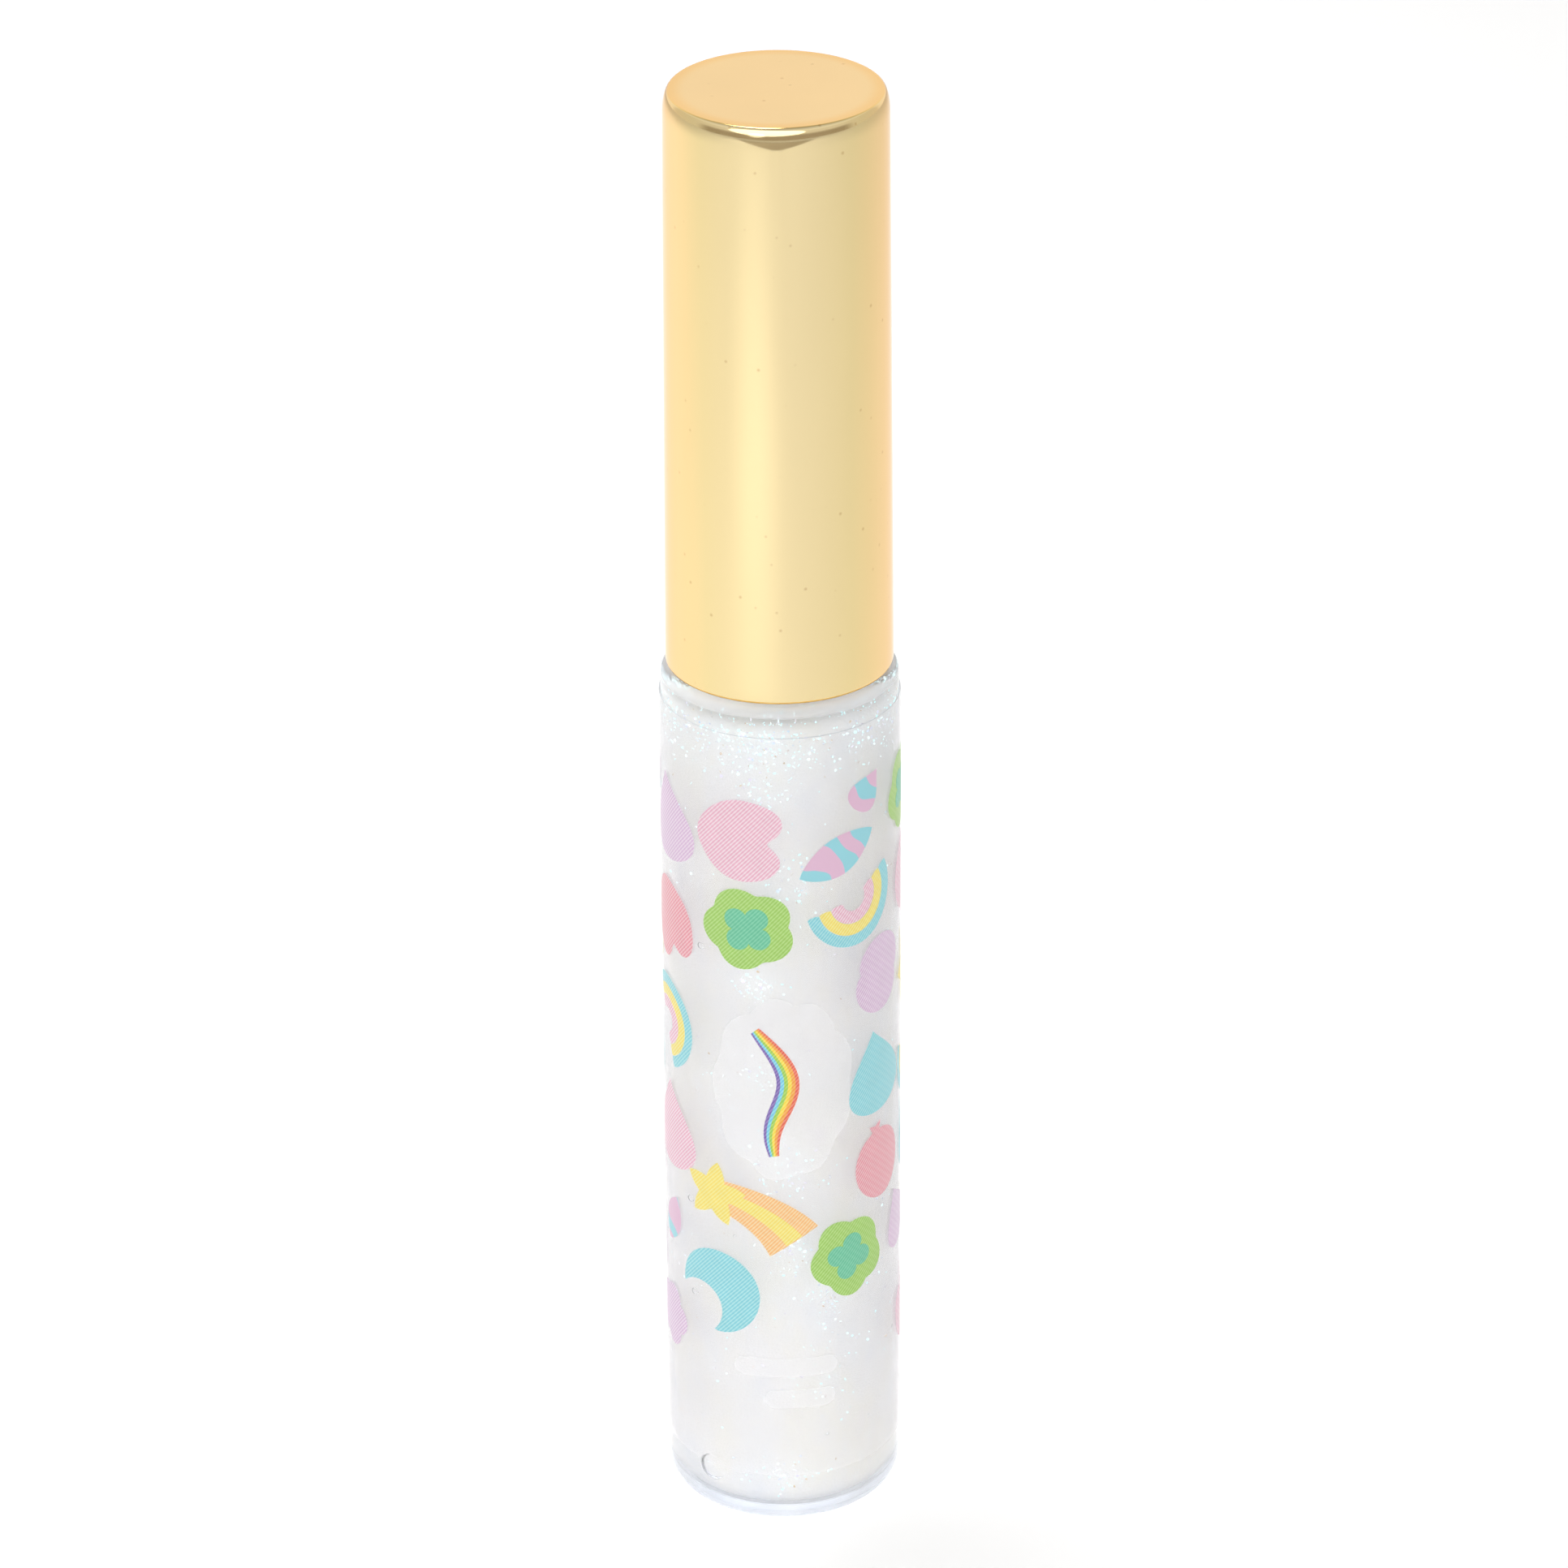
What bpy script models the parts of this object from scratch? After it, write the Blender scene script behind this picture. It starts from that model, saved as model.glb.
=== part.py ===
"""Clear lip gloss tube with a gold screw cap that carries a flocked wand.

Metres, +Z up. The axis of every turned piece is Z, and the origin is the centre of the base.
The screw cap lifts by one lead of the two-start thread in each turn.
"""
import math

import bmesh
import bpy
from mathutils import Matrix, Vector

MM = 0.001

# ---- Driving dimensions ----
TUBE_RADIUS = 8.25 * MM
TUBE_WALL = 1.35 * MM
SHOULDER_HEIGHT = 65.1 * MM
FLOOR_THICKNESS = 2.0 * MM
BASE_CORNER = 1.6 * MM
SHOULDER_CORNER = 0.75 * MM

NECK_TOP = 76.0 * MM
NECK_RADIUS = 5.05 * MM
NECK_BORE = 4.0 * MM

THREAD_LEAD = 6.0 * MM
THREAD_STARTS = 2
THREAD_HEIGHT = 0.65 * MM
THREAD_BASE_WIDTH = 1.5 * MM
THREAD_CREST_WIDTH = 0.7 * MM
THREAD_TURNS = 1.1
THREAD_CLEARANCE = 0.25 * MM
NECK_THREAD_START = 67.5 * MM

CAP_BOTTOM = 65.4 * MM
CAP_TOP = 107.1 * MM
CAP_BOTTOM_RADIUS = 7.88 * MM
CAP_TOP_RADIUS = 7.60 * MM
CAP_TOP_CORNER = 0.5 * MM
CAP_TOP_THICKNESS = 1.5 * MM
CAP_BORE = 6.9 * MM

STEM_RADIUS = 1.6 * MM
STEM_BOTTOM = 19.3 * MM
TIP_HEIGHT = 5.2 * MM
FLOCK_RADIUS = 2.05 * MM
CORE_RADIUS = 1.4 * MM
SPIGOT_RADIUS = 0.9 * MM
SPIGOT_LENGTH = 6.0 * MM

GLOSS_LEVEL = 60.4 * MM
WAND_CHANNEL = 2.35 * MM

LABEL_BOTTOM = 4.2 * MM
LABEL_TOP = 63.1 * MM
LABEL_THICKNESS = 0.09 * MM
LABEL_SEAM = 0.4 * MM

# ---- Small gaps between pieces ----
FILM_GAP = 0.03 * MM
PRESS_GAP = 0.05 * MM
SEAT_GAP = 0.3 * MM

# ---- Facets round a full turn ----
FINE_FACETS = 48
INNER_FACETS = 40
ROD_FACETS = 24
HELIX_FACETS = 32

SHARP_ANGLE = math.radians(32)
WELD_DISTANCE = 0.001 * MM


# ---- Scene ----
def clear_scene():
    for item in list(bpy.data.objects):
        bpy.data.objects.remove(item, do_unlink=True)


def new_collection(name):
    group = bpy.data.collections.new(name)
    bpy.context.scene.collection.children.link(group)
    return group


def new_material(name, colour, roughness, metallic=0.0, alpha=1.0, transmission=0.0, ior=1.45):
    material = bpy.data.materials.new(name)
    material.use_nodes = True
    shader = material.node_tree.nodes["Principled BSDF"]
    shader.inputs["Base Color"].default_value = (*colour, 1.0)
    shader.inputs["Roughness"].default_value = roughness
    shader.inputs["Metallic"].default_value = metallic
    shader.inputs["Alpha"].default_value = alpha
    shader.inputs["Transmission Weight"].default_value = transmission
    shader.inputs["IOR"].default_value = ior
    material.diffuse_color = (*colour, alpha)
    return material


def new_empty(name, height, group, parent=None):
    """An axis on Z that pieces hang from. Its height is measured from its parent."""
    axis = bpy.data.objects.new(name, None)
    axis.empty_display_size = 5 * MM
    axis.location = (0, 0, height)
    axis.parent = parent
    group.objects.link(axis)
    return axis


# ---- Outlines: lists of (radius, height) that run down the outer side ----
def arc(centre_radius, centre_height, radius, start, end, steps=4):
    """Points along a circular arc, with angles in degrees from the outward direction."""
    points = []
    for step in range(steps + 1):
        angle = math.radians(start + (end - start) * step / steps)
        points.append((centre_radius + radius * math.cos(angle),
                       centre_height + radius * math.sin(angle)))
    return points


def measured_from(height, outline):
    """The same outline with its heights measured from a given height."""
    return [(radius, z - height) for radius, z in outline]


# ---- Pieces ----
def link_mesh(name, mesh, group):
    piece = bpy.data.objects.new(name, mesh)
    group.objects.link(piece)
    return piece


def turned(name, outline, group, facets):
    """A solid of revolution. An outline that leaves the axis out is closed into a ring."""
    joins = [(i, i + 1) for i in range(len(outline) - 1)]
    if outline[0][0] > 0:
        joins.append((len(outline) - 1, 0))
    mesh = bpy.data.meshes.new(name)
    mesh.from_pydata([(radius, 0, z) for radius, z in outline], joins, [])
    piece = link_mesh(name, mesh, group)
    screw = piece.modifiers.new("turn", "SCREW")
    screw.axis = "Z"
    screw.steps = facets
    screw.render_steps = facets
    screw.use_merge_vertices = True
    screw.merge_threshold = WELD_DISTANCE
    return piece


def hide_tool(tool):
    tool.hide_render = True
    tool.display_type = "WIRE"


def combine(piece, tool, operation):
    hide_tool(tool)
    step = piece.modifiers.new(operation.lower(), "BOOLEAN")
    step.operation = operation
    step.solver = "EXACT"
    step.object = tool


def evaluated_mesh(piece):
    graph = bpy.context.evaluated_depsgraph_get()
    return bpy.data.meshes.new_from_object(piece.evaluated_get(graph))


def settle(piece, material, parent):
    """Apply the modifiers, shade the result smooth and hang the piece on its axis."""
    mesh = evaluated_mesh(piece)
    mesh.name = piece.name
    piece.modifiers.clear()
    piece.data = mesh
    mesh.materials.clear()
    mesh.materials.append(material)
    mesh.shade_smooth()
    mesh.set_sharp_from_angle(angle=SHARP_ANGLE)
    piece.parent = parent


def thread_ridge(name, root_radius, outward, start_height, start_angle, group):
    """One start of a thread: a trapezoid swept along a helix, thinned out at both ends.

    The path runs on the root radius. The buried side of the section lies inside the wall.
    """
    buried = 0.3 * MM
    base = THREAD_BASE_WIDTH / 2
    crest = THREAD_CREST_WIDTH / 2
    corners = [(-buried, -base), (0, -base), (THREAD_HEIGHT, -crest),
               (THREAD_HEIGHT, crest), (0, base), (-buried, base)]
    rows = []
    mesh = bmesh.new()
    steps = round(THREAD_TURNS * HELIX_FACETS)
    run_out = HELIX_FACETS // 5
    for step in range(steps + 1):
        turn = THREAD_TURNS * step / steps
        angle = start_angle + math.tau * turn
        size = min(1.0, (min(step, steps - step) + 0.6) / run_out)
        row = []
        for depth, rise in corners:
            reach = depth * size if depth > 0 else depth
            radius = root_radius + outward * reach
            height = start_height + THREAD_LEAD * turn + rise * (0.5 + 0.5 * size)
            row.append(mesh.verts.new((radius * math.cos(angle), radius * math.sin(angle), height)))
        rows.append(row)
    count = len(corners)
    for lower, upper in zip(rows, rows[1:]):
        for i in range(count):
            j = (i + 1) % count
            mesh.faces.new((lower[i], lower[j], upper[j], upper[i]))
    mesh.faces.new(rows[0][::-1])
    mesh.faces.new(rows[-1])
    bmesh.ops.recalc_face_normals(mesh, faces=mesh.faces)
    data = bpy.data.meshes.new(name)
    mesh.to_mesh(data)
    mesh.free()
    return link_mesh(name, data, group)


def add_thread(piece, root_radius, outward, start_height, tools):
    for start in range(THREAD_STARTS):
        angle = math.tau * start / THREAD_STARTS
        ridge = thread_ridge(f"{piece.name}_thread_{start + 1}", root_radius, outward,
                             start_height, angle, tools)
        combine(piece, ridge, "UNION")


def box(name, size, location, group, rotation=(0, 0, 0)):
    shape = bmesh.new()
    bmesh.ops.create_cube(shape, size=1.0)
    bmesh.ops.scale(shape, vec=Vector(size), verts=shape.verts)
    mesh = bpy.data.meshes.new(name)
    shape.to_mesh(mesh)
    shape.free()
    piece = link_mesh(name, mesh, group)
    piece.location = location
    piece.rotation_euler = rotation
    return piece


# ---- Bottle and what stays in it ----
def make_bottle(parts, tools, material, parent):
    """Thick-walled tube, shoulder and threaded neck, moulded as one piece."""
    dish_radius = 4.6 * MM
    dish_depth = 0.35 * MM
    floor_corner = 1.4 * MM
    roof_height = SHOULDER_HEIGHT - 1.5 * MM
    roof_corner = 1.5 * MM
    root_fillet = 0.5 * MM
    edge = 0.25 * MM
    inner_radius = TUBE_RADIUS - TUBE_WALL

    outline = [(0, FLOOR_THICKNESS)]
    outline += arc(inner_radius - floor_corner, FLOOR_THICKNESS + floor_corner, floor_corner, -90, 0)
    outline += arc(inner_radius - roof_corner, roof_height - roof_corner, roof_corner, 0, 90)
    outline += [(NECK_BORE + edge, roof_height), (NECK_BORE, roof_height + edge)]
    outline += [(NECK_BORE, NECK_TOP - edge), (NECK_BORE + edge, NECK_TOP)]
    outline += [(NECK_RADIUS - edge, NECK_TOP), (NECK_RADIUS, NECK_TOP - edge)]
    outline += arc(NECK_RADIUS + root_fillet, SHOULDER_HEIGHT + root_fillet, root_fillet, 180, 270, 3)
    outline += arc(TUBE_RADIUS - SHOULDER_CORNER, SHOULDER_HEIGHT - SHOULDER_CORNER,
                   SHOULDER_CORNER, 90, 0)
    outline += arc(TUBE_RADIUS - BASE_CORNER, BASE_CORNER, BASE_CORNER, 0, -90, 6)
    outline += [(dish_radius, 0), (dish_radius - dish_depth, dish_depth), (0, dish_depth)]
    bottle = turned("bottle", outline, parts, FINE_FACETS)
    add_thread(bottle, NECK_RADIUS, 1, NECK_THREAD_START, tools)
    settle(bottle, material, parent)


def make_gloss(parts, material, parent):
    """The contents, with a blind channel round the wand and air left above."""
    radius = TUBE_RADIUS - TUBE_WALL - PRESS_GAP
    bottom = FLOOR_THICKNESS + PRESS_GAP
    corner = 1.4 * MM
    meniscus = 0.5 * MM
    channel_floor = TIP_HEIGHT - 0.5 * MM
    channel_corner = 1.2 * MM
    outline = [(0, channel_floor)]
    outline += arc(WAND_CHANNEL - channel_corner, channel_floor + channel_corner, channel_corner, -90, 0)
    outline += [(WAND_CHANNEL, GLOSS_LEVEL), (radius - 2 * meniscus, GLOSS_LEVEL)]
    outline += [(radius - 0.4 * meniscus, GLOSS_LEVEL + 0.3 * meniscus), (radius, GLOSS_LEVEL + meniscus)]
    outline += arc(radius - corner, bottom + corner, corner, 0, -90)
    outline += [(0, bottom)]
    settle(turned("gloss_fill", outline, parts, FINE_FACETS), material, parent)


def make_wiper(parts, material, parent):
    """Soft plug in the neck. Its flange sits on the neck, and its cone ends in the wiping hole."""
    flange_radius = 4.85 * MM
    flange_thickness = 0.8 * MM
    plug_radius = NECK_BORE - PRESS_GAP
    plug_bottom = 66.6 * MM
    cone_top = 70.0 * MM
    bore = 3.2 * MM
    hole = 2.45 * MM
    edge = 0.2 * MM
    seat = NECK_TOP + PRESS_GAP
    top = seat + flange_thickness
    outline = [(bore + 2 * edge, top), (flange_radius - edge, top), (flange_radius, top - edge)]
    outline += [(flange_radius, seat), (plug_radius, seat)]
    outline += [(plug_radius, cone_top), (hole + 0.7 * MM, plug_bottom), (hole, plug_bottom)]
    outline += [(hole, plug_bottom + 0.5 * MM), (bore, cone_top + 1.0 * MM), (bore, top - 2 * edge)]
    settle(turned("wiper", outline, parts, INNER_FACETS), material, parent)


def make_label(parts, material, parent):
    """Thin printed film wrapped round the tube, with a narrow seam at the back."""
    radius = TUBE_RADIUS + FILM_GAP
    seam_angle = LABEL_SEAM / radius
    mesh = bpy.data.meshes.new("label_film")
    edge = [Vector((radius, 0, LABEL_TOP)), Vector((radius, 0, LABEL_BOTTOM))]
    to_seam = Matrix.Rotation(math.pi / 2 + seam_angle / 2, 3, "Z")
    mesh.from_pydata([to_seam @ point for point in edge], [(0, 1)], [])
    label = link_mesh("label_film", mesh, parts)
    wrap = label.modifiers.new("wrap", "SCREW")
    wrap.axis = "Z"
    wrap.angle = math.tau - seam_angle
    wrap.steps = FINE_FACETS
    wrap.render_steps = FINE_FACETS
    wrap.use_merge_vertices = False
    film = label.modifiers.new("film", "SOLIDIFY")
    film.thickness = LABEL_THICKNESS
    film.offset = 1.0
    settle(label, material, parent)


# ---- Seal ----
def make_gasket(parts, material, parent, base_height):
    """Loose ring under the inner cap. It closes on the wiper's flange and need not turn."""
    outer = 5.0 * MM
    inner = 2.8 * MM
    thickness = 0.85 * MM
    edge = 0.15 * MM
    outline = [(inner + edge, thickness), (outer - edge, thickness), (outer, thickness - edge)]
    outline += [(outer, edge), (outer - edge, 0), (inner + edge, 0), (inner, edge)]
    outline += [(inner, thickness - edge)]
    gasket = turned("gasket", outline, parts, INNER_FACETS)
    settle(gasket, material, parent)
    gasket.location.z = base_height


# ---- Cap and wand ----
def make_cap_shell(parts, material, parent):
    """Drafted outer cap with a crisp rounded top edge and a rolled lower lip."""
    lip = 0.2 * MM
    bore_top = CAP_BORE - 0.15 * MM
    roof = CAP_TOP - CAP_TOP_THICKNESS
    roof_corner = 0.8 * MM
    corner_centre = CAP_TOP_RADIUS - CAP_TOP_CORNER
    outline = [(0, CAP_TOP)]
    outline += arc(corner_centre, CAP_TOP - CAP_TOP_CORNER, CAP_TOP_CORNER, 90, 0, 5)
    outline += arc(CAP_BOTTOM_RADIUS - lip, CAP_BOTTOM + lip, lip, 0, -90, 3)
    outline += [(CAP_BORE + 2 * lip, CAP_BOTTOM), (CAP_BORE, CAP_BOTTOM + 2 * lip)]
    outline += arc(bore_top - roof_corner, roof - roof_corner, roof_corner, 0, 90, 3)
    outline += [(0, roof)]
    shell = turned("cap_shell", measured_from(CAP_BOTTOM, outline), parts, FINE_FACETS)
    settle(shell, material, parent)


def make_inner_cap(parts, tools, material, parent):
    """Threaded insert pressed into the shell by its ribs, with a socket for the stem."""
    radius = 6.55 * MM
    bottom = 66.0 * MM
    disc_bottom = 78.2 * MM
    disc_top = 79.6 * MM
    socket_radius = 2.7 * MM
    socket_top = 87.6 * MM
    socket_bore = STEM_RADIUS + PRESS_GAP
    edge = 0.4 * MM
    rib_count = 8
    rib_height = 10.0 * MM
    rib_width = 0.8 * MM
    root = NECK_RADIUS + THREAD_HEIGHT + THREAD_CLEARANCE

    outline = [(0, socket_top), (socket_radius - edge, socket_top), (socket_radius, socket_top - edge)]
    outline += [(socket_radius, disc_top), (radius - edge, disc_top), (radius, disc_top - edge)]
    outline += [(radius, bottom), (root + edge, bottom), (root, bottom + edge), (root, disc_bottom)]
    outline += [(socket_bore, disc_bottom), (socket_bore, socket_top - 2 * edge)]
    outline += [(0, socket_top - 2 * edge)]
    insert = turned("inner_cap", measured_from(CAP_BOTTOM, outline), parts, INNER_FACETS)

    # The ridges run midway between the neck's ridges.
    half_pitch = THREAD_LEAD / THREAD_STARTS / 2
    add_thread(insert, root, -1, NECK_THREAD_START + half_pitch - CAP_BOTTOM, tools)

    rib_depth = CAP_BORE - 2 * PRESS_GAP - radius + edge
    middle = radius - edge + rib_depth / 2
    for rib in range(rib_count):
        angle = math.tau * (rib + 0.5) / rib_count
        place = Vector((middle * math.cos(angle), middle * math.sin(angle),
                        (disc_top + disc_bottom) / 2 - rib_height / 2 - CAP_BOTTOM))
        bar = box(f"inner_cap_rib_{rib + 1}", (rib_depth, rib_width, rib_height), place, tools)
        bar.rotation_euler.z = angle
        combine(insert, bar, "UNION")
    settle(insert, material, parent)


def make_stem(parts, material, parent):
    """Rod with a collar under the inner cap and a blind hole for the applicator's spigot."""
    top = 86.5 * MM
    collar_radius = 2.4 * MM
    collar_top = 78.1 * MM
    collar_bottom = 77.3 * MM
    hole = SPIGOT_RADIUS + PRESS_GAP
    hole_depth = SPIGOT_LENGTH + 0.4 * MM
    edge = 0.2 * MM
    outline = [(0, top), (STEM_RADIUS - edge, top), (STEM_RADIUS, top - edge)]
    outline += [(STEM_RADIUS, collar_top), (collar_radius, collar_top), (collar_radius, collar_bottom)]
    outline += [(STEM_RADIUS, collar_bottom - edge), (STEM_RADIUS, STEM_BOTTOM + edge)]
    outline += [(STEM_RADIUS - edge, STEM_BOTTOM), (hole, STEM_BOTTOM)]
    outline += [(hole, STEM_BOTTOM + hole_depth), (0, STEM_BOTTOM + hole_depth)]
    stem = turned("stem", measured_from(CAP_BOTTOM, outline), parts, ROD_FACETS)
    settle(stem, material, parent)


def doe_foot(name, radius, tip_height, top_height, spigot, slant_offset, group, tools):
    """Rod with a round end whose lower front is sliced to a slanted face.

    slant_offset moves the slice inwards from the outer surface's own face.
    """
    round_end = 0.9 * radius
    outline = [(0, top_height)]
    if spigot:
        outline = [(0, top_height + spigot), (SPIGOT_RADIUS, top_height + spigot),
                   (SPIGOT_RADIUS, top_height)]
    outline += [(radius, top_height)]
    outline += arc(radius - round_end, tip_height + round_end, round_end, 0, -90, 5)
    if outline[-1][0] > 0:
        outline.append((0, tip_height))
    foot = turned(name, measured_from(CAP_BOTTOM, outline), group, ROD_FACETS)

    slant = math.radians(12)
    slant_top = 13.6 * MM
    block = 14 * MM
    slice_block = box(f"{name}_slice", (block, block, 2 * block), (0, 0, 0), tools, (0, slant, 0))
    away = Vector((math.cos(slant), 0, -math.sin(slant)))
    surface = Vector((FLOCK_RADIUS, 0, slant_top - CAP_BOTTOM))
    slice_block.location = surface + (block / 2 - slant_offset) * away
    combine(foot, slice_block, "DIFFERENCE")
    return foot


def make_applicator(parts, tools, core_material, flock_material, parent):
    """Slanted plastic core held in the stem, and the flocked sleeve bonded round it."""
    sleeve_top = STEM_BOTTOM - SEAT_GAP
    flock = FLOCK_RADIUS - CORE_RADIUS
    core = doe_foot("applicator_core", CORE_RADIUS, TIP_HEIGHT + flock, sleeve_top, SPIGOT_LENGTH,
                    flock, parts, tools)
    space = doe_foot("flock_space", CORE_RADIUS + PRESS_GAP, TIP_HEIGHT + flock - PRESS_GAP,
                     sleeve_top + 1 * MM, 0, flock - PRESS_GAP, tools, tools)
    sleeve = doe_foot("flock_sleeve", FLOCK_RADIUS, TIP_HEIGHT, sleeve_top, 0, 0, parts, tools)
    combine(sleeve, space, "DIFFERENCE")
    settle(sleeve, flock_material, parent)
    settle(core, core_material, parent)


def main():
    clear_scene()
    parts = new_collection("lip_gloss_tube")
    tools = new_collection("cutters")

    clear_plastic = new_material("clear_plastic", (0.93, 0.94, 0.96), 0.06, transmission=0.9, ior=1.49)
    gloss = new_material("gloss", (0.95, 0.93, 0.97), 0.1, transmission=0.7, ior=1.47)
    film = new_material("printed_film", (0.93, 0.90, 0.93), 0.25, alpha=0.5)
    gold = new_material("pale_gold", (0.92, 0.76, 0.42), 0.24, metallic=1.0)
    white_plastic = new_material("white_plastic", (0.90, 0.90, 0.88), 0.4)
    soft_plastic = new_material("soft_plastic", (0.86, 0.87, 0.88), 0.5)
    foam = new_material("sealing_foam", (0.93, 0.93, 0.92), 0.8)
    clear_rod = new_material("clear_rod", (0.92, 0.93, 0.95), 0.12, transmission=0.8)
    flock = new_material("flock", (0.95, 0.93, 0.93), 0.95)

    # The frames follow the chain of joints: bottle, then the rising seal, then the turning cap.
    bottle_frame = new_empty("bottle_frame", 0, parts)
    seal_frame = new_empty("seal_frame", CAP_BOTTOM, parts, bottle_frame)
    cap_axis = new_empty("cap_axis", 0, parts, seal_frame)

    make_bottle(parts, tools, clear_plastic, bottle_frame)
    make_gloss(parts, gloss, bottle_frame)
    make_wiper(parts, soft_plastic, bottle_frame)
    make_label(parts, film, bottle_frame)
    make_gasket(parts, foam, seal_frame, 77.1 * MM - CAP_BOTTOM)
    make_cap_shell(parts, gold, cap_axis)
    make_inner_cap(parts, tools, white_plastic, cap_axis)
    make_stem(parts, clear_rod, cap_axis)
    make_applicator(parts, tools, white_plastic, flock, cap_axis)


main()
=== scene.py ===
import math
import random

import bmesh
import bpy
from mathutils import Matrix, Vector
from mathutils.noise import fractal


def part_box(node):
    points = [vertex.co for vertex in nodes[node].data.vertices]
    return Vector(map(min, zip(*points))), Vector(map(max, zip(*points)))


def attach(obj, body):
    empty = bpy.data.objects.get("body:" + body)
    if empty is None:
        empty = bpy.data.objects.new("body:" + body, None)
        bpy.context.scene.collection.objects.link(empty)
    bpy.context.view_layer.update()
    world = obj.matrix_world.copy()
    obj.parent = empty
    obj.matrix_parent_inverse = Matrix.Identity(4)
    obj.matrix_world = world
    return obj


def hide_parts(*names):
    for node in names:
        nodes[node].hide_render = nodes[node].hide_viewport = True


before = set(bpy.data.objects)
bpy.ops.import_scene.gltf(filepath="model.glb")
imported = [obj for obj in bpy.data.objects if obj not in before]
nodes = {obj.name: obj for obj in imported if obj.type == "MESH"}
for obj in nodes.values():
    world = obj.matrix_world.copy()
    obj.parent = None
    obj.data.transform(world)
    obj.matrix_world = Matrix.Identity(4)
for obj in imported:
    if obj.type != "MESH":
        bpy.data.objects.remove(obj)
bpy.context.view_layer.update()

MM = 0.001

# ---- Places and sizes, read from the parts in model.glb ----
BOTTLE_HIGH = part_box("bottle")[1]
LABEL_LOW, LABEL_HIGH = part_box("label_film")
CAP_LOW, CAP_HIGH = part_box("cap_shell")
FLOCK_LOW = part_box("flock_sleeve")[0]
TUBE_RADIUS = BOTTLE_HIGH.x
LABEL_RADIUS = LABEL_HIGH.x
GEL_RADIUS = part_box("gloss_fill")[1].x
CAP_RADIUS = CAP_HIGH.x
TINY = 0.01 * MM
SEED = 7

# ---- Bottle, matching its CAD node but for the thinner floor ----
INNER_RADIUS = GEL_RADIUS + 0.05 * MM
FLOOR_TOP = 0.75 * MM
FLOOR_CORNER = 1.4 * MM
SHOULDER = CAP_LOW.z - 0.3 * MM
SHOULDER_CORNER = 0.75 * MM
ROOF = SHOULDER - 1.5 * MM
ROOF_CORNER = 1.5 * MM
BASE_CORNER = 1.6 * MM
DISH_RADIUS = 4.6 * MM
DISH_DEPTH = 0.35 * MM
NECK_TOP = BOTTLE_HIGH.z
NECK_RADIUS = 5.05 * MM
NECK_BORE = 4.0 * MM
NECK_ROWS_END = SHOULDER + 1.2 * MM
ROOT_FILLET = 0.5 * MM
EDGE = 0.25 * MM
THREAD_STARTS = 2
THREAD_TURNS = 1.1
THREAD_LEAD = 6.0 * MM
THREAD_START_HEIGHT = 67.5 * MM
THREAD_BASE = 1.5 * MM
THREAD_CREST = 0.7 * MM
THREAD_RISE = 0.65 * MM
THREAD_ROW = 0.14 * MM
BOTTLE_FACETS = 144
CLARITY = 0.88
SHOULDER_CLARITY = 0.62
BASE_CLARITY = 0.36

# ---- Gel, bubbles, pearl and glitter ----
GEL_FACETS = 96
GEL_TOP = ROOF - 0.05 * MM
GEL_FLOOR = FLOOR_TOP + 0.05 * MM
CHANNEL = 2.35 * MM
CHANNEL_CORNER = 1.2 * MM
CHANNEL_FLOOR = FLOCK_LOW.z - 0.5 * MM
BUBBLE_COUNT = 26
BUBBLE_SIZES = (0.12, 0.16, 0.2, 0.28, 0.36)
BIG_BUBBLE = 1.15 * MM
BIG_BUBBLE_ANGLE = math.radians(-90 - 48)
BIG_BUBBLE_HEIGHT = 2.95 * MM
PEARL_RADIUS = 6.0 * MM
PEARL_TOP = GEL_TOP - 0.3 * MM
PEARL_CORNER = 1.1 * MM
PEARL_GAP = 0.15 * MM
PEARL_SWELL = 0.16 * MM
# How strongly the pearl glows: painted light, so that it looks lit through
PEARL_PAINTED_GLOW = 0.046
GLITTER_COUNT = 3600
# How strongly the flakes glow: painted sparkle
GLITTER_PAINTED_SPARKLE = 0.8
FLAKE_SIZE = 0.045
FLAKE_SPREAD = 0.095
FLAKE_SPREAD_TOP = 0.03
FLAKE_THICKNESS = 0.012 * MM
# Running shares: in a cluster, near the roof, anywhere. The rest lies on the pearl's top
CLUSTER_SHARE = 0.42
ROOF_SHARE = 0.66
LOOSE_SHARE = 0.88
# Clusters come again this far round the tube, in millimetres
CLUSTER_TURNS = (0, 0, 0, 17.3, -17.3, 26)
# Where glitter gathers: across from the front, up, spread across, spread up, in millimetres
CLUSTERS = [(-1.7, 62.3, 2.0, 0.8), (-2.2, 60.2, 1.6, 1.5), (-1.4, 57.4, 1.3, 1.4), (-2.2, 43.2, 1.0, 0.6),
            (-2.0, 36.2, 1.2, 0.8), (-0.4, 30.2, 1.4, 0.9), (0.4, 28.0, 1.6, 1.2), (1.0, 21.8, 1.4, 1.0),
            (3.8, 18.0, 1.4, 1.2), (0.2, 3.4, 2.0, 0.8), (0.8, 51.4, 1.6, 1.0), (3.2, 12.0, 2.4, 2.4)]

# ---- Film and its printing ----
FILM_THICKNESS = 0.09 * MM
FILM_SEAM = 0.4 * MM
FILM_STEPS = 180
FROST = 0.22
INK_GAP = 0.002 * MM
INK_THICKNESS = 0.010 * MM
PRINT_STEP = 0.4 * MM
PER_METRE = 1000
STRIPE_WIDTH = 0.27

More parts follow.
